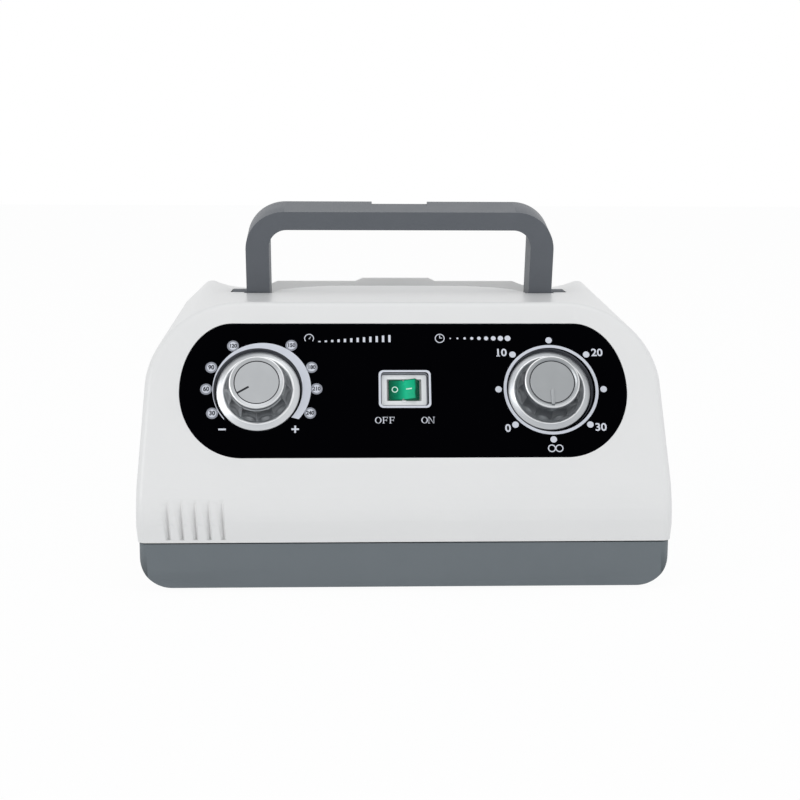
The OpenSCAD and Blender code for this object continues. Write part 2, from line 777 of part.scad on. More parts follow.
regulator_r = 13;
regulator_l = 30;
tail_r = 2.2;
tail_l = 8;
module shaft_bore() {
    translate([0, 0, -spindle_tail - gap]) cylinder(spindle_tail + gap + wall + nut_t + 2 * over,
                                                    r = spindle_r + running, $fn = 32);
}
module pressure_regulator() color("goldenrod") {
    face_frame(-knob_x, panel_s, face_back)
        difference() {
            union() {
                translate([0, 0, -regulator_l]) cylinder(regulator_l, r = regulator_r, $fn = 64);
                cylinder(bushing_out - face_back, r = bushing_r, $fn = 48);
                translate([0, 0, -regulator_l - tail_l]) cylinder(tail_l + over, r = hose_r, $fn = 24);
            }
            shaft_bore();
        }
}
timer_size = [42, 42];
timer_l = 28;
module timer_case() color("whitesmoke") {
    face_frame(knob_x, panel_s, face_back)
        difference() {
            union() {
                translate([0, 0, -timer_l]) linear_extrude(timer_l) rounded_plate(timer_size, 4);
                cylinder(bushing_out - face_back, r = bushing_r, $fn = 48);
            }
            shaft_bore();
        }
}

// ---- Rocker switch ----

switch_depth = 20;
rocker_pivot = -3.4;
rocker_deep = 8;
rocker_end_h = 4.6;
rocker_mid_h = 3.6;
rocker_flank_z = 1;
trunnion_r = 1.2;
trunnion_l = 1;
rocker_gap_l = 1;
bezel_out = well_floor + bezel_t;
module switch_body() color("whitesmoke") {
    face_frame(0, panel_s, well_floor)
        difference() {
            union() {
                linear_extrude(bezel_t) rounded_plate([bezel_l, bezel_h], 0.8);
                translate([0, 0, -switch_depth])
                    linear_extrude(switch_depth + over)
                        square([switch_hole_l - 0.4, switch_hole_h - 0.4], center = true);
            }
            translate([0, 0, bezel_t - rocker_deep - 4])
                linear_extrude(rocker_deep + 4 + over)
                    square([rocker_l + rocker_gap_l, rocker_w + 0.4], center = true);
            translate([0, 0, bezel_t + rocker_pivot])
                rotate([90, 0, 0])
                    cylinder(rocker_w + 2 * trunnion_l + 0.6, r = trunnion_r + running, center = true, $fn = 32);
        }
}
// The rocker's side view: two faces that meet in a shallow valley over the pivot
module rocker_profile() {
    half = rocker_l / 2;
    top = rocker_top_l / 2;
    polygon([[-half, rocker_flank_z], [-top, rocker_end_h], [0, rocker_mid_h], [top, rocker_end_h],
             [half, rocker_flank_z], [half - 2, -1], [2.4, -rocker_deep / 2], [-2.4, -rocker_deep / 2],
             [-half + 2, -1]]);
}
module switch_rocker() color([0.05, 0.6, 0.4]) {
    face_frame(0, panel_s, bezel_out + rocker_pivot)
        rotate([0, -rocker_tilt, 0]) {
            translate([0, rocker_w / 2, 0]) rotate([90, 0, 0]) linear_extrude(rocker_w) rocker_profile();
            rotate([90, 0, 0]) cylinder(rocker_w + 2 * trunnion_l, r = trunnion_r, center = true, $fn = 32);
        }
}
terminal_l = 8;
module switch_terminals() color("gold") {
    for (x = [-1, 1], y = [-1, 1])
        face_frame(x * 5, panel_s + y * 3.4, well_floor - switch_depth - terminal_l)
            box([0.8, 4.8, terminal_l]);
}

// ---- Air pump: an armature between two coils swings two diaphragms ----

pump_floor_z = floor_z + mount_h;
frame_t = 3;
mount_cap_r = 5;
mount_cap_t = 2;
end_t = 12;
axis_z = frame_t + pump_h / 2;
plate_hole_r = 3.4;
head_t = 8;
module pump_frame_at() {
    translate([-pump_x, pump_y - case_d / 2, pump_floor_z]) children();
}
module both_ends() {
    children();
    rotate(180) children();
}
module pump_frame() color("gray") {
    pump_frame_at()
        difference() {
            union() {
                box([pump_l, pump_w, frame_t]);
                both_ends() translate([pump_l / 2 - end_t / 2, 0, 0]) box([end_t, pump_w - 4, pump_h + frame_t]);
            }
            both_ends()
                translate([pump_l / 2 - end_t - over, 0, axis_z])
                    rotate([0, 90, 0]) cylinder(end_t + 2 * over, r = diaphragm_r + 0.1, $fn = 64);
            for (x = [-mount_x, mount_x], y = [-mount_y, mount_y])
                translate([x, y, -over]) {
                    cylinder(frame_t + 2 * over, r = plate_hole_r + 0.1, $fn = 32);
                    translate([0, 0, frame_t]) cylinder(mount_cap_t + over + 0.1, r = mount_cap_r + 0.1, $fn = 48);
                }
        }
}
module pump_mounts() color([0.12, 0.12, 0.12]) {
    mount_places()
        difference() {
            union() {
                cylinder(mount_h, r = 6, $fn = 48);
                cylinder(mount_h + frame_t + 0.1, r = plate_hole_r, $fn = 32);
                translate([0, 0, mount_h + frame_t]) cylinder(mount_cap_t, r = mount_cap_r, $fn = 48);
            }
            translate([0, 0, -over]) cylinder(peg_h + over + 0.3, r = peg_r + 0.1, $fn = 32);
        }
}
core_l = 30;
core_w = 9;
core_h = 30;
pole_r = 5;
pole_l = 7;
armature_w = 8;
armature_gap = 0.8;
core_y = armature_w / 2 + armature_gap + pole_l;
module pump_cores() color("dimgray") {
    pump_frame_at()
        both_ends() {
            translate([0, core_y + core_w / 2, frame_t]) box([core_l, core_w, core_h + (axis_z - frame_t) - core_h / 2]);
            translate([0, core_y + over, axis_z]) rotate([90, 0, 0]) cylinder(pole_l + over, r = pole_r, $fn = 48);
        }
}
module pump_coils() color("peru") {
    pump_frame_at()
        both_ends()
            translate([0, core_y, axis_z])
                rotate([90, 0, 0])
                    difference() {
                        cylinder(pole_l - 1, r = 12, $fn = 64);
                        translate([0, 0, -over]) cylinder(pole_l + over, r = pole_r + 0.1, $fn = 48);
                    }
}
stud_r = 3;
plate_r_in = 11;
module pump_armature() color("silver") {
    inner = pump_l / 2 - end_t;
    pump_frame_at()
        translate([0, 0, axis_z]) {
            translate([-inner + 5, -armature_w / 2, -5]) cube([2 * inner - 10, armature_w, 10]);
            both_ends() translate([inner - 6, 0, 0]) rotate([0, 90, 0]) cylinder(end_t, r = stud_r, $fn = 32);
        }
}
diaphragm_t = 2.4;
module pump_diaphragms() color([0.15, 0.15, 0.15]) {
    pump_frame_at()
        both_ends()
            translate([pump_l / 2 - end_t + 2, 0, axis_z])
                rotate([0, 90, 0])
                    difference() {
                        union() {
                            cylinder(diaphragm_t, r = diaphragm_r, $fn = 64);
                            cylinder(diaphragm_t + 1.6, r = diaphragm_r - 5, $fn = 64);
                        }
                        translate([0, 0, -over]) cylinder(diaphragm_t + 4, r = stud_r + running, $fn = 32);
                    }
}
module pump_heads() color("whitesmoke") {
    pump_frame_at()
        both_ends() {
            translate([pump_l / 2 + head_t / 2, 0, frame_t]) box([head_t, pump_w - 8, pump_h]);
            translate([pump_l / 2 + head_t / 2, 0, frame_t + pump_h - over]) cylinder(tail_l + over, r = tail_r, $fn = 24);
        }
}

// ---- Air distributor: a slow motor turns a disc that opens the outlets in turn ----

distributor_at = [distributor_x, distributor_y - case_d / 2, floor_z + motor_seat_h];
body_floor = 4;
cover_t = 5;
shaft_r = 2;
tail_circle = 14.5;
module distributor_motor() color("silver") {
    translate(distributor_at)
        difference() {
            cylinder(motor_h, r = motor_r, $fn = 96);
            translate([0, 0, motor_h - 8]) cylinder(8 + over, r = shaft_r + running, $fn = 32);
        }
}
module distributor_body() color("whitesmoke") {
    translate(distributor_at)
        translate([0, 0, motor_h])
            difference() {
                cylinder(distributor_h, r = distributor_r, $fn = 96);
                translate([0, 0, body_floor]) cylinder(distributor_h, r = rotor_r + gap, $fn = 96);
                translate([0, 0, -over]) cylinder(distributor_h, r = shaft_r + running, $fn = 32);
                cover_screw_places() translate([0, 0, distributor_h - 8]) cylinder(8 + over, r = 1.05, $fn = 24);
            }
}
module distributor_rotor() color("ivory") {
    translate(distributor_at)
        translate([0, 0, motor_h + body_floor + gap])
            difference() {
                cylinder(distributor_h - body_floor - 2 * gap, r = rotor_r, $fn = 96);
                translate([0, 0, -over]) cylinder(6 + over, r = shaft_r + running, $fn = 32);
                translate([tail_circle - 3, 0, distributor_h - body_floor - 2 * gap - 2])
                    cylinder(2 + over, r = 2.5, $fn = 32);
            }
}
module distributor_shaft() color("silver") {
    translate(distributor_at)
        translate([0, 0, motor_h - 7.6]) cylinder(7.6 + body_floor + gap + 5.6, r = shaft_r, $fn = 32);
}
module cover_screw_places() {
    for (a = [0:90:270]) rotate(a) translate([distributor_r - 2.6, 0, 0]) children();
}
function tail_offset(i) = tail_circle * [cos(45 + 90 * i), sin(45 + 90 * i), 0];
module tail_places() {
    for (i = [0:outlet_count - 1]) translate(tail_offset(i)) children();
}
module distributor_cover() color("whitesmoke") {
    translate(distributor_at)
        translate([0, 0, motor_h + distributor_h])
            difference() {
                union() {
                    cylinder(cover_t, r = distributor_r, $fn = 96);
                    tail_places() cylinder(cover_t + tail_l, r = tail_r, $fn = 24);
                    cylinder(cover_t + tail_l, r = tail_r, $fn = 24);
                }
                cover_screw_places() translate([0, 0, -over]) cylinder(cover_t + 2 * over, r = 1.2, $fn = 24);
            }
}
module cover_screws() color("silver") {
    translate(distributor_at)
        translate([0, 0, motor_h + distributor_h])
            cover_screw_places() {
                translate([0, 0, -7]) cylinder(7 + cover_t, r = 1, $fn = 24);
                translate([0, 0, cover_t]) cylinder(1.6, r = 2.2, $fn = 24);
            }
}

// ---- Air block: joins the two pump heads, the regulator and the distributor ----

block_at = [block_x, block_y - case_d / 2, floor_z];
block_tails = 4;
function block_tail(i) = [block_at[0] + (i - (block_tails - 1) / 2) * 10, block_at[1], floor_z + block_size[2]];
module air_block() color("whitesmoke") {
    translate(block_at) box(block_size);
    for (i = [0:block_tails - 1]) translate(block_tail(i) - [0, 0, over]) cylinder(tail_l + over, r = tail_r, $fn = 24);
}

// ---- Outlets at the back ----

outlet_wall = 1.6;
function outlet_place(i) = outlet_x + (i - (outlet_count - 1) / 2) * outlet_pitch;
module outlet_places() {
    for (i = [0:outlet_count - 1]) back_frame(outlet_place(i), outlet_z) children();
}
module outlet_socket() color([0.2, 0.2, 0.22]) {
    difference() {
        union() {
            back_frame(outlet_x, outlet_z) linear_extrude(plate_t) rounded_plate(outlet_plate, plate_r);
            outlet_places() {
                cylinder(outlet_depth + 2, r = outlet_r + outlet_wall, $fn = 48);
                cylinder(outlet_depth + 2 + tail_l, r = tail_r, $fn = 24);
            }
        }
        outlet_places() translate([0, 0, -over]) cylinder(outlet_depth + over, r = outlet_r, $fn = 48);
    }
}

// ---- Mains inlet, terminal block, fuse and wiring ----

inlet_wall = 1.6;
pin_size = [4, 2];
pin_spread = 7;
earth_rise = 4;
module mains_inlet() color([0.08, 0.08, 0.08]) {
    back_frame(-inlet_x, inlet_z)
        difference() {
            union() {
                linear_extrude(plate_t) rounded_plate(inlet_plate, plate_r);
                linear_extrude(inlet_depth + 2)
                    square([inlet_w + 2 * inlet_wall, inlet_h + 2 * inlet_wall], center = true);
            }
            translate([0, 0, -over])
                linear_extrude(inlet_depth + over) square([inlet_w, inlet_h], center = true);
            inlet_pin_places() translate([0, 0, inlet_depth - over]) box([pin_size[1] + 0.1, pin_size[0] + 0.1, 4]);
        }
}
module inlet_pin_places() {
    for (p = [[-pin_spread, -earth_rise / 2], [0, earth_rise / 2], [pin_spread, -earth_rise / 2]])
        translate([p[0], p[1], 0]) children();
}
module inlet_pins() color("silver") {
    back_frame(-inlet_x, inlet_z)
        inlet_pin_places() translate([0, 0, 2]) box([pin_size[1], pin_size[0], inlet_depth + 8]);
}
terminal_size = [34, 12, 16];
fuse_r = 2.6;
fuse_l = 20;
module terminal_at() {
    translate([terminal_x, terminal_y - case_d / 2, floor_z]) children();
}
module terminal_block() color("ivory") {
    terminal_at() {
        box(terminal_size);
        for (side = [-1, 1])
            translate([side * (fuse_l / 2 + 1), 0, terminal_size[2] - over]) box([2, 8, 7]);
    }
}
module fuse() color([0.8, 0.85, 0.9]) {
    terminal_at()
        translate([-fuse_l / 2 , 0, terminal_size[2] + 3.2]) rotate([0, 90, 0]) cylinder(fuse_l, r = fuse_r, $fn = 32);
}

// ---- Hoses and wires: a round tube swept along a smooth line through chosen points ----

function smooth(p, i, t) =
    let (a = p[max(i - 1, 0)], b = p[i], c = p[i + 1], d = p[min(i + 2, len(p) - 1)])
    0.5 * (2 * b + t * (c - a) + t * t * (2 * a - 5 * b + 4 * c - d) + t * t * t * (3 * b - a - 3 * c + d));
// The first and the last stretch stay straight, so that each end sits square on its tail
function route(p, steps) = concat(
    [p[0]], [for (i = [1:len(p) - 3], k = [0:steps - 1]) smooth(p, i, k / steps)], [p[len(p) - 2], p[len(p) - 1]]);
function unit(v) = v / norm(v);
// Sideways directions of the rings, each turned as little as possible from the one before
function heading(path, i) = unit(path[min(i + 1, len(path) - 1)] - path[max(i - 1, 0)]);
function sideways(path, i, last) =
    let (h = heading(path, i), side = unit(last - (last * h) * h))
    i == len(path) - 1 ? [side] : concat([side], sideways(path, i + 1, side));
module tube(points, r, sides = 8, steps = 4, first_side = [0, 1, 0]) {
    path = route(points, steps);
    across = sideways(path, 0, first_side);
    rings = len(path);
    corners = [for (i = [0:rings - 1], k = [0:sides - 1])
        let (a = 360 * k / sides, u = across[i], v = cross(heading(path, i), u))
        path[i] + r * (cos(a) * u + sin(a) * v)];
    faces = concat(
        [[for (k = [sides - 1:-1:0]) k]],
        [for (i = [0:rings - 2], k = [0:sides - 1])
            let (a = i * sides + k, b = i * sides + (k + 1) % sides)
            each [[a, b, b + sides], [a, b + sides, a + sides]]],
        [[for (k = [0:sides - 1]) (rings - 1) * sides + k]]);
    polyhedron(corners, faces);
}
up = [0, 0, 1];
pump_at = [-pump_x, pump_y - case_d / 2, pump_floor_z];
head_top = pump_at + [0, 0, frame_t + pump_h + tail_l];
left_tail = head_top - [pump_l / 2 + head_t / 2, 0, 0];
right_tail = head_top + [pump_l / 2 + head_t / 2, 0, 0];
module pump_hoses() color("lightgray") {
    a = block_tail(1) + tail_l * up;
    b = block_tail(2) + tail_l * up;
    tube([left_tail, left_tail + 5 * up, left_tail + [8, -5, 14], left_tail + [40, -14, 17],
          left_tail + [74, -24, 12], a + [-8, 5, 34], a + [-1, 0, 18], a + 5 * up, a], hose_r);
    tube([right_tail, right_tail + 5 * up, right_tail + [4, -8, 12], b + [1, 8, 38], b + [0, 0, 20], b + 5 * up, b],
         hose_r);
}
regulator_tail = on_face(-knob_x, panel_s, face_back - regulator_l - tail_l);
inward = on_face(0, 0, -1) - on_face(0, 0, 0);
cover_top = distributor_at + [0, 0, motor_h + distributor_h + cover_t + tail_l];
module feed_hoses() color("lightgray") {
    c = block_tail(0) + tail_l * up;
    d = block_tail(3) + tail_l * up;
    tube([regulator_tail, regulator_tail + 4 * inward, regulator_tail + 6 * inward + [10, 0, -2],
          regulator_tail + [34, 0, -10], c + [-9, -1, 22], c + [-1, 0, 13], c + 4 * up, c],
         hose_r, first_side = [1, 0, 0]);
    tube([d, d + 5 * up, d + [4, 0, 18], d + [24, 0, 38], cover_top + [-6, -17, 14], cover_top + [-1, -7, 13],
          cover_top + 5 * up, cover_top], hose_r);
}
// How far each outlet hose swings sideways on its way round its neighbours
outlet_swing = [-3, 0, -14, 9];
outlet_order = [2, 1, 0, 3];
module outlet_hoses() color("lightgray") {
    for (i = [0:outlet_count - 1]) {
        start = cover_top + tail_offset(i);
        finish = [outlet_place(outlet_order[i]), back_y - outlet_depth - 2 - tail_l, outlet_z];
        tube([start, start + 4 * up, start + [outlet_swing[i] * 0.4, 4, 11],
              [start[0] + outlet_swing[i], start[1] + 16, start[2] + 12],
              finish + [0, -14, 3], finish - [0, 5, 0], finish], hose_r, first_side = [1, 0, 0]);
    }
}
wire_r = 1;
inlet_back = [-inlet_x, back_y - inlet_depth - 10, inlet_z - earth_rise / 2];
module wiring() color("firebrick") {
    for (side = [-1, 1]) {
        end = on_face(side * 5, panel_s + 3.4, well_floor - switch_depth - terminal_l);
        tube([inlet_back + [side * pin_spread, 0, 0], inlet_back + [side * pin_spread, -4, 0],
              [-34 + 4 * side, 34, inlet_z + 6], [-10 + 4 * side, 4, inlet_z + 2], end + 5 * inward, end], wire_r,
             sides = 6, first_side = [1, 0, 0]);
    }
}

upper_shell();
base_tray();
rubber_feet();
case_screws();
front_panel();
carry_handle();
handle_pins();
pressure_knob();
pressure_spindle();
pressure_regulator();
regulator_nut();
timer_knob();
timer_spindle();
timer_case();
timer_nut();
switch_body();
switch_rocker();
switch_terminals();
pump_frame();
pump_mounts();
pump_cores();
pump_coils();
pump_armature();
pump_diaphragms();
pump_heads();
distributor_motor();
distributor_body();
distributor_rotor();
distributor_shaft();
distributor_cover();
cover_screws();
air_block();
pump_hoses();
feed_hoses();
outlet_hoses();
outlet_socket();
mains_inlet();
inlet_pins();
terminal_block();
fuse();
wiring();
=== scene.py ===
import json
import math

import bmesh
import bpy
import numpy as np
from mathutils import Matrix, Vector


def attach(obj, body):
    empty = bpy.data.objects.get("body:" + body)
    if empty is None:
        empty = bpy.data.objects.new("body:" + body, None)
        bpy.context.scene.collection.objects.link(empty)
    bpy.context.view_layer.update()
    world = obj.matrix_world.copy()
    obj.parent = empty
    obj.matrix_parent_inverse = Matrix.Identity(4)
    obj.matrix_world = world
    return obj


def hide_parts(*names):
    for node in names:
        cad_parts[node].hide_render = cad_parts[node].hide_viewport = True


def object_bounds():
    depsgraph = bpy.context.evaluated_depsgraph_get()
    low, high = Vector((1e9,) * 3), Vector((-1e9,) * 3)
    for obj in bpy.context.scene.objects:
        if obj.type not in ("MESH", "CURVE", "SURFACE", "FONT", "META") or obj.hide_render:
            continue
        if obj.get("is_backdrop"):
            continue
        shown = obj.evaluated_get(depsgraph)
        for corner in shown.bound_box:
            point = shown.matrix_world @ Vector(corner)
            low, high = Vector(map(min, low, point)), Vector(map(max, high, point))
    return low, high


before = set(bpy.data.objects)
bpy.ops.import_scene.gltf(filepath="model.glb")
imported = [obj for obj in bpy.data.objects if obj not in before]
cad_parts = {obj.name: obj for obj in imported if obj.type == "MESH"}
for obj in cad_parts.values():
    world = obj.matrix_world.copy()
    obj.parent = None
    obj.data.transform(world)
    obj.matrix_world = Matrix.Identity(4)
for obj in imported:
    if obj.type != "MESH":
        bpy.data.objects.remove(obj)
case_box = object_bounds()

# ---- Camera ----
# It stands a little to the left in front of the case and looks down on it by ten degrees, as the photographer did.
# The lens is given as the width of one pixel of the 800 pixel frame at unit distance.

camera_place = Vector((-0.02728, -0.72807, 0.20313))
look_down, look_right, camera_roll = 0.174532, 0.0375135, 0.0046266
lens_px, frame_px = 1468.2, 800
forward = Vector((math.sin(look_right) * math.cos(look_down), math.cos(look_right) * math.cos(look_down),
                  -math.sin(look_down)))
level_right = Vector((math.cos(look_right), -math.sin(look_right), 0))
level_up = level_right.cross(forward)
right = math.cos(camera_roll) * level_right + math.sin(camera_roll) * level_up
camera_data = bpy.data.cameras.new("camera")
camera_data.sensor_width = 36
camera_data.lens = 36 * lens_px / frame_px
camera_data.clip_start = 0.01
camera = bpy.data.objects.new("camera", camera_data)
camera_turn = Matrix((right, right.cross(forward), -forward)).transposed().to_4x4()
camera.matrix_world = Matrix.Translation(camera_place) @ camera_turn
bpy.context.collection.objects.link(camera)
bpy.context.scene.camera = camera
bpy.context.scene.view_settings.view_transform = "Standard"

# ---- Table and studio ----
# The case stands on a wide white sheet in a white room. The camera sees both as plain white, and the sheet keeps
# a soft shadow.


class Wire:
    """A shader socket that takes part in sums. Each sum adds a Math node to its tree."""

    def __init__(self, finish, socket):
        self.finish, self.socket = finish, socket

    def sum(self, operation, *others, **settings):
        return self.finish.node("Math", [self, *others], operation=operation, **settings)

    def __add__(self, other): return self.sum("ADD", other)
    def __sub__(self, other): return self.sum("SUBTRACT", other)
    def __mul__(self, other): return self.sum("MULTIPLY", other)
    def __truediv__(self, other): return self.sum("DIVIDE", other)
    def __pow__(self, other): return self.sum("POWER", other)
    def __rsub__(self, other): return self.finish.node("Math", [other, self], operation="SUBTRACT")
    def __gt__(self, other): return self.sum("GREATER_THAN", other)
    def __lt__(self, other): return self.sum("LESS_THAN", other)
    __radd__, __rmul__ = __add__, __mul__


class Finish:
    """A node material. Constants are set on the shader's own sockets; node() adds any other node."""

    def __init__(self, name, **constants):
        self.material = bpy.data.materials.new(name)
        self.material.use_nodes = True
        self.tree = self.material.node_tree
        self.shader = self.tree.nodes["Principled BSDF"]
        for socket, value in constants.items():
            self.shader.inputs[socket.replace("_", " ")].default_value = value

    def node(self, kind, inputs=(), output=0, **settings):
        node = self.tree.nodes.new("ShaderNode" + kind)
        for setting, value in settings.items():
            setattr(node, setting, value)
        for socket, value in (inputs.items() if isinstance(inputs, dict) else enumerate(inputs)):
            self.feed(node.inputs[socket], value)
        return Wire(self, node.outputs[output])

    def feed(self, socket, value):
        if isinstance(value, Wire):
            self.tree.links.new(value.socket, socket)
        else:
            socket.default_value = value

    def set(self, socket, value):
        self.feed(self.shader.inputs[socket], value)

    def place(self, centre=(0, 0, 0), turn=(0, 0, 0)):
        """Object coordinates in metres from a chosen centre, turned into a chosen frame."""
        spot = self.node("TexCoord", output="Object")
        if any(centre):
            spot = self.node("VectorMath", [spot, centre], operation="SUBTRACT")
        if any(turn):
            spot = self.node("VectorRotate", {"Vector": spot, "Rotation": turn}, rotation_type="EULER_XYZ")
        return spot

    def axes(self, spot):
        """The three coordinates of a spot, each a wire of its own."""
        return [self.node("SeparateXYZ", [spot], output) for output in range(3)]

    def noise(self, spot, grain, detail=2.0):
        return self.node("TexNoise", {"Vector": spot, "Scale": 1 / grain, "Detail": detail})

    def ramp(self, value, *stops):
        """Straight lines between (value, colour) stops."""
        node = self.node("ValToRGB", [value])
        ramp = node.socket.node.color_ramp
        while len(ramp.elements) < len(stops):
            ramp.elements.new(1)
        for element, (position, colour) in zip(ramp.elements, stops):
            element.position = position
            element.color = (*colour, 1)
        return node

    def blend(self, share, first, second):
        node = self.tree.nodes.new("ShaderNodeMix")
        node.data_type = "RGBA"
        for socket, value in ((0, share), (6, first), (7, second)):
            is_colour = isinstance(value, tuple) and len(value) == 3
            self.feed(node.inputs[socket], (*value, 1) if is_colour else value)
        return Wire(self, node.outputs[2])

    def bump(self, height, depth, strength):
        self.set("Normal", self.node("Bump", {"Height": height, "Distance": depth, "Strength": strength}))


sheet_size = 8.0
sheet_data = bpy.data.meshes.new("table_sheet")
sheet_corners = [(x * sheet_size / 2, y * sheet_size / 2, 0) for x, y in ((-1, -1), (1, -1), (1, 1), (-1, 1))]
sheet_data.from_pydata(sheet_corners, [], [(0, 1, 2, 3)])
sheet = bpy.data.objects.new("table_sheet", sheet_data)
bpy.context.collection.objects.link(sheet)
paper = Finish("white_paper", Roughness=0.9, Specular_IOR_Level=0.1)
paper.set("Base Color", paper.blend(paper.noise(paper.place(), 0.02) * 0.1, (0.9, 0.9, 0.9), (0.86, 0.86, 0.86)))
rays = paper.tree.nodes.new("ShaderNodeLightPath")
glow = paper.node("Emission", {"Color": (1, 1, 1, 1), "Strength": 1.0})
seen = Wire(paper, rays.outputs["Is Camera Ray"])
paper.tree.links.new(
    paper.node("MixShader", [seen * 0.96, Wire(paper, paper.shader.outputs[0]), glow]).socket,
    paper.tree.nodes["Material Output"].inputs[0])
sheet.data.materials.append(paper.material)
sheet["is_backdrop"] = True

room = bpy.data.worlds.new("white_room")
bpy.context.scene.world = room
room.use_nodes = True
room_nodes = room.node_tree.nodes


def room_node(kind, *values, **settings):
    node = room_nodes.new("ShaderNode" + kind)
    for setting, value in settings.items():
        setattr(node, setting, value)
    for socket, value in zip(node.inputs, values):
        if isinstance(value, bpy.types.NodeSocket):
            room.node_tree.links.new(value, socket)
        else:
            socket.default_value = value
    return node.outputs


soft_light = room_node("Background", (0.94, 0.97, 1.0, 1), 0.62)[0]
plain_white = room_node("Background", (1, 1, 1, 1), 1.0)[0]
kinds = room_node("LightPath")
direct = room_node("Math", kinds["Is Camera Ray"], kinds["Is Glossy Ray"], operation="MAXIMUM")[0]
direct = room_node("Math", direct, kinds["Is Transmission Ray"], operation="MAXIMUM")[0]
seen_room = room_node("MixShader", direct, soft_light, plain_white)[0]
room.node_tree.links.new(seen_room, room_nodes["World Output"].inputs[0])
case_middle = Vector((0, 0, 0.08))


def soft_box(name, place, width, height, watts, mirrored=True):
    """A lamp that faces the middle of the case."""
    lamp = bpy.data.lights.new(name, "AREA")
    lamp.shape = "RECTANGLE"
    lamp.size, lamp.size_y, lamp.energy = width, height, watts
    box = bpy.data.objects.new(name, lamp)
    box.location, box.visible_glossy = place, mirrored
    box.rotation_euler = (case_middle - Vector(place)).to_track_quat("-Z", "Y").to_euler()
    bpy.context.collection.objects.link(box)


soft_box("soft_box_left", (-1.8, -1.1, 1.0), 1.0, 1.4, 12)
soft_box("soft_box_right", (1.9, -1.0, 0.9), 0.9, 1.4, 10, mirrored=False)
soft_box("soft_box_front", (0, -2.4, 0.5), 1.2, 1.0, 3.5, mirrored=False)
soft_box("soft_box_above", (0.1, -0.3, 2.0), 1.6, 1.0, 4.5)

# ---- White shell ----
# One moulding of glossy white plastic: the leaning control face with its shallow band and pocket, the recess for
# the handle, the grooves low on the left, and the openings at the back. It carries the face's fittings.

mm = 0.001
case_w, case_d, case_h = 245 * mm, 162 * mm, 129 * mm
slope_z, face_tilt = 41 * mm, math.radians(29.6)
corner_r, corner_x = 44 * mm, 77 * mm
edge_r, bend_r, wall = 4 * mm, 40 * mm, 2.6 * mm
bend_z = slope_z - bend_r * math.tan(face_tilt / 2)
back_top_x, back_top_z = 104.5 * mm, 127.6 * mm
back_shoulder_x, back_shoulder_z = 115 * mm, 117.6 * mm
joint_z, shell_low_z, joint_x = 22.6 * mm, 23.3 * mm, 121.6 * mm
front_y, back_y = -case_d / 2, case_d / 2
face_l = (case_h - slope_z) / math.cos(face_tilt)
panel_s = 55.6 * mm
face_up = Vector((0, math.sin(face_tilt), math.cos(face_tilt)))
face_out = Vector((0, -math.cos(face_tilt), math.sin(face_tilt)))
upright = Matrix.Rotation(math.radians(90), 4, "X")


def face_frame(x=0.0, s=0.0, out=0.0):
    """The control face's own frame: across, up the slope, and outwards."""
    spot = Vector((x, front_y, slope_z)) + s * face_up + out * face_out
    return Matrix.Translation(spot) @ Matrix(((1, 0, 0), face_up, face_out)).transposed().to_4x4()


def add_piece(name, mesh, body="case", node=None, finish=None):
    """Puts a finished mesh in the scene as a piece of the object, in the place of the CAD node that it dresses."""
    piece = bpy.data.objects.new(name, mesh)
    bpy.context.collection.objects.link(piece)
    if finish:
        mesh.materials.append(finish.material)
    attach(piece, body)
    if node:
        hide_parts(node)


def mesh_of(bm, name, smooth_angle=30, place=None):
    """Turns a bmesh into a mesh with outward faces, smooth below an angle."""
    if place is not None:
        bmesh.ops.transform(bm, matrix=place, verts=bm.verts)
    bmesh.ops.recalc_face_normals(bm, faces=bm.faces)
    mesh = bpy.data.meshes.new(name)
    bm.to_mesh(mesh)
    bm.free()
    mesh.shade_smooth()
    mesh.set_sharp_from_angle(angle=math.radians(smooth_angle))
    return mesh


def worked(mesh, *steps):
    """Runs modifiers on a mesh, given as (kind, settings), and returns the result."""
    blank = bpy.data.objects.new("blank", mesh)
    bpy.context.collection.objects.link(blank)
    for kind, settings in steps:
        modifier = blank.modifiers.new(kind, kind)
        for setting, value in settings.items():
            setattr(modifier, setting, value)
    result = bpy.data.meshes.new_from_object(blank.evaluated_get(bpy.context.evaluated_depsgraph_get()))
    result.name = mesh.name
    bpy.data.objects.remove(blank)
    return result


def joined(mesh, operation, *tools):
    """Adds or cuts tool meshes, one after another."""
    for tool in tools:
        holder = bpy.data.objects.new("tool", tool)
        bpy.context.collection.objects.link(holder)
        mesh = worked(mesh, ("BOOLEAN", {"operation": operation, "object": holder, "solver": "EXACT"}))
        bpy.data.objects.remove(holder)
    return mesh


def arc(centre, radius, start, end, steps):
    """Points on an arc, angles in degrees."""
    turns = [math.radians(start + (end - start) * i / steps) for i in range(steps + 1)]
    return [(centre[0] + radius * math.cos(turn), centre[1] + radius * math.sin(turn)) for turn in turns]


def prism(name, outline, low, high, place=None, widen=0.0, smooth_angle=30):
    """An outline pushed from one level to another; widen moves the upper outline outwards."""
    bm = bmesh.new()
    rings = []
    count = len(outline)
    for level, grow in ((low, 0.0), (high, widen)):
        ring = []
        for i, (x, y) in enumerate(outline):
            if grow:
                before, after = Vector(outline[i - 1]), Vector(outline[(i + 1) % count])
                side = (after - before).normalized()
                x, y = x + side.y * grow, y - side.x * grow
            ring.append(bm.verts.new((x, y, level)))
        rings.append(ring)
    bm.faces.new(rings[0][::-1])
    bm.faces.new(rings[1])
    for i in range(count):
        j = (i + 1) % count
        bm.faces.new((rings[0][i], rings[0][j], rings[1][j], rings[1][i]))
    return mesh_of(bm, name, smooth_angle, place)


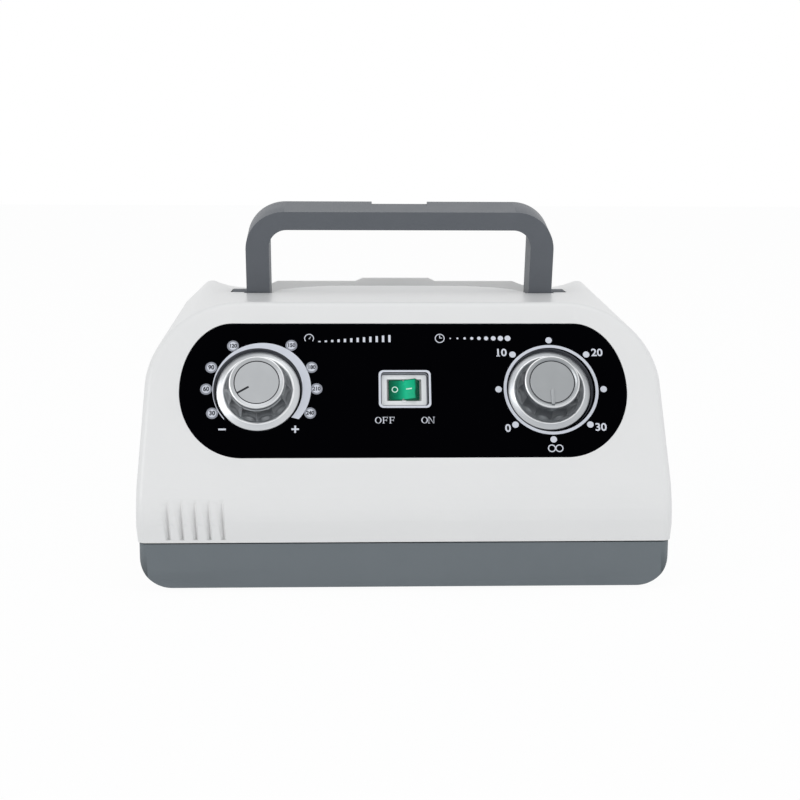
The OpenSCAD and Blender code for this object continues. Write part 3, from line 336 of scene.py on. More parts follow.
def stadium(length, height, steps=24):
    """The control panel's outline: half rounds at its ends, fuller above than below."""
    right_side = []
    for share, fuller in ((-1, 3.7 * mm), (1, 9.5 * mm)):
        round_l = height / 2 - fuller
        turns = np.radians(np.linspace(0, 90, steps + 1))
        quarter = [(length / 2 - round_l + round_l * math.cos(t), share * height / 2 * math.sin(t)) for t in turns]
        right_side += quarter[1:] if share > 0 else quarter[::-1]
    return right_side + [(-x, y) for x, y in reversed(right_side)]


def plate(width, height, radius, steps=8):
    x, y = width / 2 - radius, height / 2 - radius
    return [point for cx, cy, start in ((x, y, 0), (-x, y, 90), (-x, -y, 180), (x, -y, 270))
            for point in arc((cx, cy), radius, start, start + 90, steps)]


def ring_outline(radius, steps=96):
    return arc((0, 0), radius, 0, 360 - 360 / steps, steps - 1)


def rectangle(x0, y0, x1, y1):
    return [(x0, y0), (x1, y0), (x1, y1), (x0, y1)]


def block(low, high):
    return prism("block", rectangle(*low[:2], *high[:2]), low[2], high[2])


def repeater(name, sizes, spots):
    """A Geometry Nodes tree that sets the mesh it is given on every spot. spots() adds the nodes for them."""
    tree = bpy.data.node_groups.new(name, "GeometryNodeTree")
    tree.interface.new_socket("Geometry", in_out="INPUT", socket_type="NodeSocketGeometry")
    for label, kind in (*sizes.items(), ("Material", "Material")):
        tree.interface.new_socket(label, in_out="INPUT", socket_type="NodeSocket" + kind)
    tree.interface.new_socket("Geometry", in_out="OUTPUT", socket_type="NodeSocketGeometry")
    given = tree.nodes.new("NodeGroupInput").outputs

    def add(kind, inputs=(), output=0, **settings):
        node = tree.nodes.new(kind)
        for setting, value in settings.items():
            setattr(node, setting, value)
        for socket, value in (inputs.items() if isinstance(inputs, dict) else enumerate(inputs)):
            if isinstance(value, bpy.types.NodeSocket):
                tree.links.new(value, node.inputs[socket])
            else:
                node.inputs[socket].default_value = value
        return node.outputs[output]

    points, scale = spots(add, given)
    copies = add("GeometryNodeInstanceOnPoints", {"Points": points, "Instance": given["Geometry"], "Scale": scale})
    real = add("GeometryNodeRealizeInstances", [copies])
    tree.links.new(add("GeometryNodeSetMaterial", {"Geometry": real, "Material": given["Material"]}),
                   tree.nodes.new("NodeGroupOutput").inputs[0])
    return tree


def row_spots(add, given):
    last = add("ShaderNodeMath", [given["Count"], 1.0], operation="SUBTRACT")
    reach = add("ShaderNodeMath", [last, given["Pitch"]], operation="MULTIPLY")
    start = add("ShaderNodeCombineXYZ", [add("ShaderNodeMath", [reach, -0.5], operation="MULTIPLY")])
    line = add("GeometryNodeMeshLine", {"Count": given["Count"], "Start Location": start,
                                        "Offset": add("ShaderNodeCombineXYZ", [given["Pitch"]])})
    size = add("ShaderNodeMapRange", {"Value": add("GeometryNodeInputIndex"), "From Max": last,
                                      "To Min": given["First Size"], "To Max": given["Last Size"]})
    more = add("ShaderNodeMath", [size, 1.0], operation="SUBTRACT")
    wide = add("ShaderNodeMath", [more, given["Grow Across"], 1.0], operation="MULTIPLY_ADD")
    return line, add("ShaderNodeCombineXYZ", [wide, size, 1.0])


row_tree = repeater("in_a_row", {"Count": "Int", "Pitch": "Float", "First Size": "Float", "Last Size": "Float",
                                 "Grow Across": "Float"}, row_spots)


def repeated(tree, mesh, finish=None, place=None, **sizes):
    """Runs a repeater on a mesh and returns the copies as one plain mesh."""
    blank = bpy.data.objects.new("blank", mesh)
    bpy.context.collection.objects.link(blank)
    modifier = blank.modifiers.new("repeat", "NODES")
    modifier.node_group = tree
    for socket in tree.interface.items_tree:
        label = socket.name.lower().replace(" ", "_")
        if socket.in_out == "INPUT" and label in sizes:
            modifier[socket.identifier] = sizes[label]
        elif socket.name == "Material" and finish:
            modifier[socket.identifier] = finish.material
    result = bpy.data.meshes.new_from_object(blank.evaluated_get(bpy.context.evaluated_depsgraph_get()))
    blank.modifiers.remove(modifier)
    bpy.data.objects.remove(blank)
    if place is not None:
        result.transform(place)
    return result


def in_row(mesh, count, pitch, finish=None, place=None, first=1.0, last=1.0, across=0.0):
    """A row of copies, middled on its place; first, last and across say how their size grows along it."""
    return repeated(row_tree, mesh, finish, place, count=count, pitch=pitch, first_size=first, last_size=last,
                    grow_across=across)


form_middle = (0, 0, 60 * mm)


def rounded_form(name, inset):
    """The case's outer form: the hull of balls set along its rounded edges."""
    radius = edge_r - inset
    turns = [math.radians(a) for a in np.arange(0, 360, 7.5)]
    tilts = [math.radians(a) for a in np.arange(-90, 90.1, 7.5)]
    ball = np.unique(np.round([(math.cos(t) * math.cos(a), math.cos(t) * math.sin(a), math.sin(t))
                               for t in tilts for a in turns], 9), axis=0)
    right_side = []
    for a in np.radians(np.linspace(0, 90, 25)):
        right_side.append(face_frame(corner_x + (corner_r - edge_r) * math.sin(a),
                                     face_l - corner_r + (corner_r - edge_r) * math.cos(a), -edge_r).translation)
    for a in np.linspace(0, face_tilt, 9):
        right_side.append((case_w / 2 - edge_r, front_y + bend_r - (bend_r - edge_r) * math.cos(a),
                           bend_z + (bend_r - edge_r) * math.sin(a)))
    for x, z in ((back_top_x, back_top_z), (back_shoulder_x, back_shoulder_z), (case_w / 2, slope_z)):
        right_side.append((x - edge_r, back_y - edge_r, z - edge_r))
    for y in (front_y + edge_r, back_y - edge_r):
        right_side.append((joint_x - edge_r, y, joint_z - edge_r / 2))
    centres = np.array([(side * x, y, z) for x, y, z in right_side for side in (-1, 1)])
    outwards = centres - np.array(form_middle)
    points = [centre + radius * ball[ball @ away > 0] for centre, away in zip(centres, outwards)]
    bm = bmesh.new()
    for point in np.concatenate(points):
        bm.verts.new(point)
    hull = bmesh.ops.convex_hull(bm, input=bm.verts, use_existing_faces=False)
    loose = {v for key in ("geom_interior", "geom_unused") for v in hull[key] if isinstance(v, bmesh.types.BMVert)}
    bmesh.ops.delete(bm, geom=list(loose), context="VERTS")
    bmesh.ops.remove_doubles(bm, verts=bm.verts, dist=2e-6)
    bmesh.ops.dissolve_limit(bm, angle_limit=math.radians(0.15), verts=bm.verts, edges=bm.edges)
    return mesh_of(bm, name)


# The handle's recess, its island between the legs, and the dips in the top outside the legs
handle_x, leg_w, leg_gap, handle_d = 77 * mm, 11.6 * mm, 1.5 * mm, 20.5 * mm
pivot_y, pivot_z, handle_lean = 23.4 * mm, 121.5 * mm, math.radians(12.6)
bar_reach, bar_t = 41.2 * mm, 9.2 * mm
leg_reach = (handle_d / 2 + (case_h - pivot_z) * math.sin(handle_lean)) / math.cos(handle_lean)
recess_front_y = pivot_y - leg_reach - 0.3 * mm
recess_back_y = pivot_y + bar_reach + bar_t + 1.2 * mm
recess_floor_z = pivot_z - handle_d / 2 - 0.5 * mm
bay_x, bay_r, bay_back_y = handle_x - leg_w - leg_gap, 38 * mm, recess_front_y + 38 * mm
slot_x, slot_r = handle_x + 8.4 * mm, 8 * mm


def recess_outline(grow=0.0):
    out_x = handle_x + leg_gap + grow
    front, back = recess_front_y - grow, recess_back_y + grow
    island_r = bay_r - grow
    return ([(-bay_x + grow, front), (-bay_x + grow, bay_back_y - bay_r)]
            + arc((-bay_x + bay_r, bay_back_y - bay_r), island_r, 180, 90, 24)[1:]
            + arc((bay_x - bay_r, bay_back_y - bay_r), island_r, 90, 0, 24)
            + [(bay_x - grow, front), (out_x, front),
               (out_x, pivot_y - slot_r - grow), (slot_x + grow, pivot_y - slot_r - grow),
               (slot_x + grow, pivot_y + slot_r + grow), (out_x, pivot_y + slot_r + grow),
               (out_x, back), (-out_x, back),
               (-out_x, pivot_y + slot_r + grow), (-slot_x - grow, pivot_y + slot_r + grow),
               (-slot_x - grow, pivot_y - slot_r - grow), (-out_x, pivot_y - slot_r - grow), (-out_x, front)])


dip_x, dip_r, dip_fall = 81.6 * mm, 42 * mm, 4.6 * mm


def top_dip(side, grow=0.0):
    reach = back_y - pivot_y
    turn = Matrix.Rotation(math.radians(-90) - math.atan(dip_fall / reach), 4, "X")
    return prism("dip", ring_outline(dip_r + grow, 256), -0.2 * reach, 1.2 * reach,
                 Matrix.Translation((side * dip_x, pivot_y, case_h - 0.8 * mm + dip_r)) @ turn)


# The face's pocket: the sloping band, the seat of the panel, and the wells
band_w, band_depth, panel_t = 5.6 * mm, 0.8 * mm, 1.6 * mm
panel_l, panel_h, panel_gap, panel_ledge = 209 * mm, 66.4 * mm, 0.2 * mm, 0.5 * mm
panel_out = -band_depth
well_floor, well_r, cup_t = panel_out - 3.2 * mm, 20.65 * mm, 0.8 * mm
knob_x = 68.1 * mm
switch_well = (22.2 * mm, 16.5 * mm)
groove_count, groove_pitch, groove_row_x = 5, 6.2 * mm, -95.1 * mm


def groove():
    """One groove: a bottom line that leans a little, a steep right side and a left side that widens upwards."""
    depth, right_w, foot_w, head_w, lean = 2.2 * mm, 1.0 * mm, 1.3 * mm, 3.2 * mm, 0.9 * mm
    foot_z, head_z = shell_low_z + 1.3 * mm, bend_z + math.sqrt(bend_r ** 2 - (bend_r - depth) ** 2)
    bm = bmesh.new()
    rings = []
    steps = 10
    for i in range(steps + 1):
        z = foot_z + (head_z - foot_z) * i / steps
        width = foot_w + (head_w - foot_w) * i / steps
        skin = front_y + bend_r - math.sqrt(bend_r ** 2 - max(z - bend_z, 0) ** 2) - 0.03 * mm
        valley = -lean * i / steps
        rings.append([bm.verts.new((valley + x, y, z)) for x, y in (
            (0, front_y + depth), (right_w, skin), (right_w, front_y - mm), (-width, front_y - mm), (-width, skin))])
    bm.faces.new(rings[0])
    bm.faces.new(rings[-1][::-1])
    for low, high in zip(rings, rings[1:]):
        for i in range(5):
            j = (i + 1) % 5
            bm.faces.new((low[i], high[i], high[j], low[j]))
    return mesh_of(bm, "groove")


def back_frame(x, z):
    """The back wall's own frame: across as seen from behind, up, and outwards."""
    return Matrix.Translation((x, back_y, z)) @ Matrix(((-1, 0, 0), (0, 0, 1), (0, 1, 0))).transposed().to_4x4()


# The back's plates in their seats, the holes behind them, and the vents
seat_gap, plate_r, plate_depth = 0.4 * mm, 3 * mm, 2.4 * mm
inlet_x, inlet_z, inlet_plate, inlet_box = -70 * mm, 86 * mm, (32 * mm, 25 * mm), (27.6 * mm, 19.8 * mm)
outlet_x, outlet_z, outlet_pitch, outlet_count = 58 * mm, 52 * mm, 14.5 * mm, 4
outlet_plate, outlet_hole_r = (outlet_pitch * outlet_count + 8 * mm, 22 * mm), 5.8 * mm
vent_count, vent_pitch, vent_w, vent_low, vent_high = 9, 5.2 * mm, 2.4 * mm, 66 * mm, 92 * mm
through, beyond = 10 * mm, 200 * mm
on_face, at_inlet, at_outlet = face_frame(0, panel_s), back_frame(inlet_x, inlet_z), back_frame(outlet_x, outlet_z)


def roomy(size, gap=seat_gap):
    return [length + gap for length in size]


shell = rounded_form("shell", 0)
pad_gap, groove_side_x = 6 * mm, -75 * mm
cavity = joined(
    rounded_form("cavity", wall), "DIFFERENCE",
    prism("recess_wall", recess_outline(wall), recess_floor_z - wall, beyond),
    prism("face_pad", stadium(panel_l + pad_gap, panel_h + pad_gap), well_floor - 2.8 * mm, through, on_face),
    block((-110 * mm, front_y - through, 0), (groove_side_x, front_y + wall + 2.2 * mm, slope_z)),
    top_dip(-1, wall), top_dip(1, wall))
cup_gap = 2 * (cup_t + panel_gap)
shell = joined(
    shell, "DIFFERENCE", cavity, block((-beyond, -beyond, -100 * mm), (beyond, beyond, shell_low_z)),
    prism("recess", recess_outline(), recess_floor_z, beyond), top_dip(-1), top_dip(1),
    prism("band", stadium(panel_l + 2 * panel_ledge, panel_h + 2 * panel_ledge, 48), panel_out,
          panel_out + 2 * band_depth, on_face, widen=2 * (band_w - panel_ledge)),
    prism("seat", stadium(panel_l + 2 * panel_gap, panel_h + 2 * panel_gap, 48), panel_out - panel_t, through,
          on_face),
    prism("switch_well", plate(*roomy(switch_well, cup_gap), 2.4 * mm), well_floor - cup_t, through, on_face),
    *[prism("knob_well", ring_outline(well_r + cup_t + panel_gap), well_floor - cup_t, through,
            face_frame(x, panel_s)) for x in (-knob_x, knob_x)],
    in_row(groove(), groove_count, groove_pitch, place=Matrix.Translation((groove_row_x, 0, 0))),
    prism("inlet_seat", plate(*roomy(inlet_plate), plate_r), -plate_depth, through, at_inlet),
    prism("inlet_hole", plate(*roomy(inlet_box), 0.5 * mm), -2 * through, through, at_inlet),
    prism("outlet_seat", plate(*roomy(outlet_plate), plate_r), -plate_depth, through, at_outlet),
    in_row(prism("outlet_hole", ring_outline(outlet_hole_r, 48), -through, through), outlet_count, outlet_pitch,
           place=at_outlet),
    in_row(prism("vent", plate(vent_w, vent_high - vent_low, 1.1 * mm), -through, through), vent_count, vent_pitch,
           place=back_frame(0, (vent_low + vent_high) / 2)))

# The low rise behind the handle's recess
rise_w, rise_top_w, rise_side_h, rise_h = 23 * mm, 18 * mm, 3.4 * mm, 5.6 * mm
rise_outline = [(-rise_w, 0), (rise_w, 0), (rise_w, rise_side_h), (rise_top_w, rise_h), (-rise_top_w, rise_h),
                (-rise_w, rise_side_h)]
rise = prism("rise", rise_outline, 0, back_y - edge_r / 2 - recess_back_y,
             Matrix.Translation((0, back_y - edge_r / 2, back_top_z - edge_r)) @ upright)
shell = joined(shell, "UNION", rise)


def soften(mesh, width, keep, angle=28, segments=3):
    """Rounds the sharp edges that keep() picks, and gives flat faces flat shading next to the rounds."""
    bm = bmesh.new()
    bm.from_mesh(mesh)
    bmesh.ops.dissolve_degenerate(bm, dist=1e-6, edges=bm.edges)
    weights = bm.edges.layers.float.get("bevel_weight_edge") or bm.edges.layers.float.new("bevel_weight_edge")
    for edge in bm.edges:
        if len(edge.link_faces) == 2 and edge.calc_face_angle(0) > math.radians(angle):
            edge[weights] = keep(*(v.co for v in edge.verts))
    bm.to_mesh(mesh)
    bm.free()
    return worked(mesh, ("BEVEL", {"width": width, "segments": segments, "limit_method": "WEIGHT",
                                   "use_clamp_overlap": True, "miter_outer": "MITER_ARC", "harden_normals": False}),
                  ("WEIGHTED_NORMAL", {"mode": "FACE_AREA", "weight": 80, "keep_sharp": True}))


def above(level):
    """Picks the edges whose middle lies over a level."""
    return lambda a, b: float((a + b).z / 2 > level)


def shell_edge(a, b):
    """Full rounds in the handle's recess, half rounds at the face's pocket, the back and the lower edge."""
    middle = (a + b) / 2
    if middle.z > recess_floor_z - mm and middle.y > recess_front_y - mm and abs(middle.x) < 90 * mm:
        return 1.0 if middle.z > pivot_z else 0.6
    over_face = (middle - on_face.translation).dot(face_out)
    if over_face > panel_out - 0.2 * mm and middle.z < case_h - 3 * mm:
        return 0.5
    if middle.y > back_y - mm or middle.z < shell_low_z + 0.1 * mm:
        return 0.5
    return 0.0


def plain_finish(name, first, second, patch, rough, change=0.15, surface=None, **constants):
    """An even finish. Its colour and gloss change a little from patch to patch, over a fine surface grain, which is
    given as its size, detail, depth and strength."""
    finish = Finish(name, **constants)
    spot = finish.place()
    cloud = finish.noise(spot, patch, 3)
    finish.set("Base Color", finish.blend(cloud, first, second))
    finish.set("Roughness", rough + cloud * change)
    grain, detail, depth, strength = surface or (patch * 0.25, 2, 0.00002, 0.6)
    finish.bump(finish.noise(spot, grain, detail), depth, strength)
    return finish


shell = soften(shell, 0.7 * mm, shell_edge)
white_plastic = plain_finish("white_moulding", (0.755, 0.752, 0.746), (0.785, 0.778, 0.768), 0.03, 0.28, 0.08,
                             (0.0012, 1, 0.00001, 0.5), IOR=1.48)
add_piece("shell", shell, "case", "upper_shell", white_plastic)

# ---- Grey tray ----
# The lower half of the case, moulded in grey plastic with a fine matt texture. Its rim carries a lip that reaches
# up inside the shell, and four bosses under it take the case screws.

tray_w, tray_d, tray_r, tray_low = 242.6 * mm, 161 * mm, 15 * mm, 2 * mm
lip_h, lip_t = 3 * mm, 1.3 * mm
foot_x, foot_y, foot_r = 92 * mm, 57 * mm, 8 * mm
screw_x, screw_y, screw_seat_r, screw_seat_z = 107 * mm, 64 * mm, 3.5 * mm, 7.4 * mm


def tray_form(inset):
    """The tray's form: round lower corners and straight sides from the front, a rounded rectangle from above."""
    x, r, low, top = tray_w / 2 - inset, tray_r - inset, tray_low + inset, 50 * mm
    side = arc((-x + r, low + r), r, 180, 270, 24) + arc((x - r, low + r), r, 270, 360, 24) + [(x, top), (-x, top)]
    form = prism("tray", side, -tray_d / 2 + inset, tray_d / 2 - inset, upright)
    plan = prism("plan", plate(tray_w - 2 * inset, tray_d - 2 * inset, 4 * mm - inset / 2), -through, 60 * mm)
    return joined(form, "INTERSECT", plan)


def corner_spots(add, given):
    size = {"Size X": given["Across"], "Size Y": given["Deep"], "Vertices X": 2, "Vertices Y": 2}
    return add("GeometryNodeMeshGrid", size), (1, 1, 1)


corner_tree = repeater("in_four_corners", {"Across": "Float", "Deep": "Float"}, corner_spots)
tray = joined(tray_form(0), "DIFFERENCE", tray_form(wall),
              block((-beyond, -beyond, joint_z), (beyond, beyond, 100 * mm)))
lip = joined(tray_form(wall - 0.3 * mm), "DIFFERENCE", tray_form(wall + lip_t),
             block((-beyond, -beyond, -100 * mm), (beyond, beyond, joint_z - lip_h)),
             block((-beyond, -beyond, joint_z + lip_h), (beyond, beyond, 100 * mm)),
             block((-113 * mm, front_y, joint_z), (groove_side_x, front_y + 5 * mm, 50 * mm)))
tray = joined(tray, "UNION", lip)
foot_seat = prism("foot_seat", ring_outline(foot_r + 0.1 * mm, 64), -through, tray_low + 1.2 * mm)
screw_seat = prism("screw_seat", ring_outline(screw_seat_r, 48), -through, screw_seat_z)
tray = joined(tray, "DIFFERENCE", repeated(corner_tree, foot_seat, across=2 * foot_x, deep=2 * foot_y),
              repeated(corner_tree, screw_seat, across=2 * screw_x, deep=2 * screw_y))


def tray_edge(a, b):
    middle = (a + b) / 2
    return 1.0 if abs(middle.z - joint_z) < 0.1 * mm or middle.z < tray_low + 0.1 * mm else 0.0


tray = soften(tray, 0.5 * mm, tray_edge)
grey_plastic = plain_finish("grey_moulding", (0.135, 0.155, 0.168), (0.150, 0.170, 0.184), 0.02, 0.42, 0.12,
                            (0.0006, 2, 0.00003, 0.6), IOR=1.46)
add_piece("tray", tray, "case", "base_tray", grey_plastic)

# ---- Rubber feet ----
# Four black rubber pads pressed into round seats under the tray. Each has a rounded rim and a shallow cup.


def turned(name, profile, steps=64):
    """A solid turned about the upright axis from (radius, height) points, from axis to axis."""
    bm = bmesh.new()
    rings = []
    for r, z in profile:
        turns = [2 * math.pi * i / steps for i in range(steps if r > 1e-9 else 1)]
        rings.append([bm.verts.new((r * math.cos(turn), r * math.sin(turn), z)) for turn in turns])
    for low, high in zip(rings, rings[1:]):
        for i in range(steps):
            j = (i + 1) % steps
            corners = [low[i % len(low)], low[j % len(low)], high[j % len(high)], high[i % len(high)]]
            corners = [v for k, v in enumerate(corners) if v not in corners[:k]]
            if len(corners) > 2:
                bm.faces.new(corners)
    return mesh_of(bm, name, 35)


foot_profile = [(r * mm, z * mm) for r, z in (
    (0, 0.8), (3.2, 0.8), (4, 0.3), (4.5, 0), (7, 0), (7.7, 0.3), (8, 1), (8, 3.2), (0, 3.2))]
rubber = plain_finish("foot_rubber", (0.012, 0.012, 0.013), (0.03, 0.03, 0.032), 0.0015, 0.65, 0.2,
                      (0.0015, 3, 0.00004, 0.6), Specular_IOR_Level=0.35)
feet = repeated(corner_tree, turned("foot", foot_profile), rubber, across=2 * foot_x, deep=2 * foot_y)
add_piece("feet", feet, "case", "rubber_feet")

# ---- Black overlay of the control face ----
# One black moulding let into the leaning face, with a deep cup round each knob and a shallow one for the switch.
# Its face is smooth black with pale printing.

panel_floor = panel_out - panel_t
cup_floor = well_floor - cup_t
bushing_hole_r, switch_hole = 5.1 * mm, (19.4 * mm, 13.2 * mm)
at_knobs = [Matrix.Translation((x, 0, 0)) for x in (-knob_x, knob_x)]
overlay = joined(
    prism("overlay", stadium(panel_l, panel_h, 64), panel_floor, panel_out), "UNION",
    *[prism("cup", ring_outline(well_r + cup_t, 128), cup_floor, panel_floor + mm, place) for place in at_knobs],
    prism("cup", plate(*roomy(switch_well, 2 * cup_t), 2.4 * mm), cup_floor, panel_floor + mm))
overlay = joined(
    overlay, "DIFFERENCE",
    *[prism("well", ring_outline(well_r, 128), well_floor, mm, place) for place in at_knobs],
    *[prism("bore", ring_outline(bushing_hole_r, 48), -through, mm, place) for place in at_knobs],
    prism("well", plate(*switch_well, 1.6 * mm), well_floor, mm),
    prism("hole", plate(*switch_hole, 0.2 * mm), -through, mm))
overlay = soften(overlay, 0.22 * mm, above(panel_out - 0.05 * mm))
overlay.transform(on_face)


def face_axes(finish, place):
    """A finish's spot in a frame of the leaning face, and its three coordinates there."""
    spot = finish.place(tuple(place.translation), (face_tilt - math.radians(90), 0, 0))
    return spot, *finish.axes(spot)


black_gloss = Finish("black_overlay", Specular_IOR_Level=0.006)
spot, px, py, out = face_axes(black_gloss, on_face)
aside = px.sum("ABSOLUTE")
from_knob = ((aside - knob_x) * (aside - knob_x) + py * py) ** 0.5
knob_wall_r, switch_reach = 20.1 * mm, 13 * mm
# Painted light: the wells' walls and the outer edge of the knob wells' floors are coloured grey on the black moulding,
# much lighter in the switch well.
painted_light_well_mask = ((from_knob > knob_wall_r) + (aside < switch_reach)) * (out < panel_out - 0.3 * mm)
cloud = black_gloss.noise(spot, 0.03, 2)
face_black = black_gloss.blend(cloud, (0.0003, 0.0003, 0.0008), (0.0006, 0.0006, 0.0012))
painted_light_wall_grey = black_gloss.blend(aside < switch_reach, (0.15, 0.155, 0.175), (0.40, 0.41, 0.45))
black_gloss.set("Base Color", black_gloss.blend(painted_light_well_mask, face_black, painted_light_wall_grey))
black_gloss.set("Roughness", 0.16 + cloud * 0.08)
black_gloss.bump(black_gloss.noise(spot, 0.008, 1), 0.00001, 0.2)
add_piece("overlay", overlay, "case", "front_panel", black_gloss)

# ---- Printing on the overlay ----
# Pale grey ink, a few hundredths of a millimetre thick: the pressure scale with its numbers in round fields, the
# timer's ring, dots and numbers, the frame round the switch, and small pictures over both scales.

ink_low, ink_high = panel_out - 0.02 * mm, panel_out + 0.05 * mm
inks, mid_inks, dark_inks = [], [], []
pale_ink = Finish("pale_ink", Specular_IOR_Level=0.3)
cloud = pale_ink.noise(pale_ink.place(), 0.004, 2)
pale_ink.set("Base Color", pale_ink.blend(cloud, (0.60, 0.62, 0.68), (0.66, 0.68, 0.74)))
pale_ink.set("Roughness", 0.45 + cloud * 0.1)


def even_ink(name, first, second, **constants):
    ink = Finish(name, Roughness=0.5, **constants)
    ink.set("Base Color", ink.blend(ink.noise(ink.place(), 0.002, 1), first, second))
    return ink


dark_ink = even_ink("dark_ink", (0.015, 0.016, 0.025), (0.03, 0.031, 0.04), Specular_IOR_Level=0.2)
mid_ink = even_ink("grey_ink", (0.24, 0.25, 0.29), (0.30, 0.31, 0.35), Specular_IOR_Level=0.3)


def together(name, *meshes, smooth_angle=35):
    """Several closed meshes in one, side by side."""
    bm = bmesh.new()
    for mesh in meshes:
        bm.from_mesh(mesh)
    return mesh_of(bm, name, smooth_angle)


def hoop(name, inner, outer, low, high, place=None, closed=True):
    """A flat hoop between two outlines with as many points, or an open strip with two ends."""
    bm = bmesh.new()
    columns = [[bm.verts.new((*spot, z)) for spot, z in ((a, low), (b, low), (b, high), (a, high))]
               for a, b in zip(inner, outer)]
    pairs = list(zip(columns, columns[1:]))
    if closed:
        pairs.append((columns[-1], columns[0]))
    else:
        bm.faces.new(columns[0])
        bm.faces.new(columns[-1][::-1])
    for one, two in pairs:
        for k in range(4):
            bm.faces.new((one[k], two[k], two[(k + 1) % 4], one[(k + 1) % 4]))
    return mesh_of(bm, name, 30, place)


def ring_spots(add, given):
    ring = add("GeometryNodeMeshCircle", {"Vertices": given["Count"], "Radius": given["Radius"]})
    return ring, (1, 1, 1)


ring_tree = repeater("in_a_ring", {"Count": "Int", "Radius": "Float"}, ring_spots)


def printed(outline, x, s, lift=0.0):
    inks.append(prism("ink", outline, ink_low, ink_high + lift, face_frame(x, s)))


def bar(x0, y0, x1, y1, x, s):
    printed(rectangle(x0, y0, x1, y1), x, s)


def ring_print(x, s, inner, outer, start=0.0, end=360.0, steps=128, shift=(0, 0)):
    """A printed arc; the outer circle may stand off-centre, which makes a crescent."""
    whole = end - start >= 360
    edges = [arc(centre, radius, start, end, steps) for centre, radius in (((0, 0), inner), (shift, outer))]
    if whole:
        edges = [edge[:-1] for edge in edges]
    inks.append(hoop("ink", *edges, ink_low, ink_high, face_frame(x, s), closed=whole))


def words(text, size, x, s, lift=0.0, bold=0.0, wide=1.0):
    """Plain characters, centred on a place of the face."""
    curve = bpy.data.curves.new("characters", "FONT")
    curve.body, curve.size, curve.align_x, curve.align_y = text, size, "CENTER", "CENTER"
    curve.offset, curve.extrude, curve.resolution_u = bold, 0.02 * mm, 4
    blank = bpy.data.objects.new("characters", curve)
    bpy.context.collection.objects.link(blank)
    mesh = bpy.data.meshes.new_from_object(blank.evaluated_get(bpy.context.evaluated_depsgraph_get()))
    bpy.data.objects.remove(blank)
    mesh.transform(face_frame(x, s, panel_out + 0.03 * mm + lift) @ Matrix.Diagonal((wide, 1, 1, 1)))
    return mesh


# Pressure scale: a crescent that widens round to the right, and eight numbers in round fields
scale_x, scale_s, field_r, field_hole_r = 66.5 * mm, panel_s, 2.75 * mm, 1.95 * mm
ring_print(-knob_x, scale_s, well_r + 0.1 * mm, 22.9 * mm, -41, 222, shift=(1.78 * mm, 0.5 * mm))
for number, angle, number_r in zip(range(30, 241, 30), (207.2, 179.3, 154.8, 122, 58.3, 25.5, 0.9, -26.9),
                                   (25.3, 25.6, 26.0, 25.8, 26.05, 25.8, 25.65, 25.5)):
    a, number_r = math.radians(angle), number_r * mm
    x, s = -scale_x + number_r * math.cos(a), scale_s + number_r * math.sin(a)
    printed(ring_outline(field_hole_r, 40), x, s, 0.02 * mm)
    ring_print(x, s, field_hole_r, field_r, steps=40)
    mid_inks.append(inks.pop())
    dark_inks.append(words(str(number), (3.0 if number < 100 else 2.6) * mm, x, s, 0.05 * mm, 0.10 * mm, 0.95))
stroke, arm = 0.42 * mm, 1.75 * mm
minus_x, plus_x, sign_s = -84.2 * mm, -50.6 * mm, 36.2 * mm
for x in (minus_x, plus_x):
    bar(-arm, -stroke, arm, stroke, x, sign_s)
for low, high in ((stroke, arm), (-arm, -stroke)):
    bar(-stroke, low, stroke, high, plus_x, sign_s)

# Timer scale: a ring, eight dots, a number at every other dot, and feet under the 1 of the 10
timer_x, dot_r = 68.9 * mm, 24.7 * mm
ring_print(timer_x, scale_s, 20.9 * mm, 22.3 * mm)
inks.append(repeated(ring_tree, prism("dot", ring_outline(1.55 * mm, 32), ink_low, ink_high), pale_ink,
                     face_frame(timer_x, scale_s), count=8, radius=dot_r))
for text, x, s in (("10", 46.0, 73.9), ("20", 91.5, 73.9), ("0", 47.9, 36.3), ("30", 91.2, 36.7)):
    inks.append(words(text, 5.2 * mm, x * mm, s * mm, 0, 0.11 * mm, 1.06))
for x in (-2.25, -1.2):
    bar(x * mm, 0, (x + 0.7) * mm, 0.5 * mm, 46.0 * mm, 72.1 * mm)

# Frame round the switch, and OFF and ON under it, in capitals of a stem, thin strokes and hair lines
frame_in, frame_out = plate(22.4 * mm, 16.7 * mm, 1.6 * mm), plate(24.4 * mm, 18.7 * mm, 2.2 * mm)
inks.append(hoop("ink", frame_in, frame_out, ink_low, ink_high, face_frame(0.33 * mm, panel_s + 0.3 * mm)))
cap_h, stem, hair, serif = 3.15 * mm, 0.42 * mm, 0.2 * mm, 0.35 * mm
top, side = cap_h / 2, 1.25 * mm
left = -side + serif
letter_bars = {
    "O": (),
    "F": ((left, -top + hair, left + stem, top - hair), (left - 0.3 * mm, -top, left + stem + serif, -top + hair),
          (left - 0.3 * mm, top - hair, side, top), (side - hair, top - 0.75 * mm, side, top - hair),
          (left + stem, -hair / 2, side - 0.6 * mm, hair / 2),
          (side - 0.6 * mm, -0.45 * mm, side - 0.6 * mm + hair, 0.45 * mm)),
    "N": ((-side, -top + hair, -side + hair, top - hair), (side - hair, -top, side, top - hair),
          (-side - serif, -top, -side + hair + serif, -top + hair),
          (side - hair - serif, top - hair, side + serif, top), (-side - serif, top - hair, -side + stem, top))}
slant = [(-side + hair, top - hair), (side - hair - stem * 0.4, -top), (side - hair, -top),
         (-side + stem + 0.15 * mm, top - hair)]
letter_pitch, letters_s = 3.15 * mm, 40.5 * mm


def oval(across, up):
    return [(across * math.cos(a), up * math.sin(a)) for a in np.linspace(0, 2 * math.pi, 40, endpoint=False)]


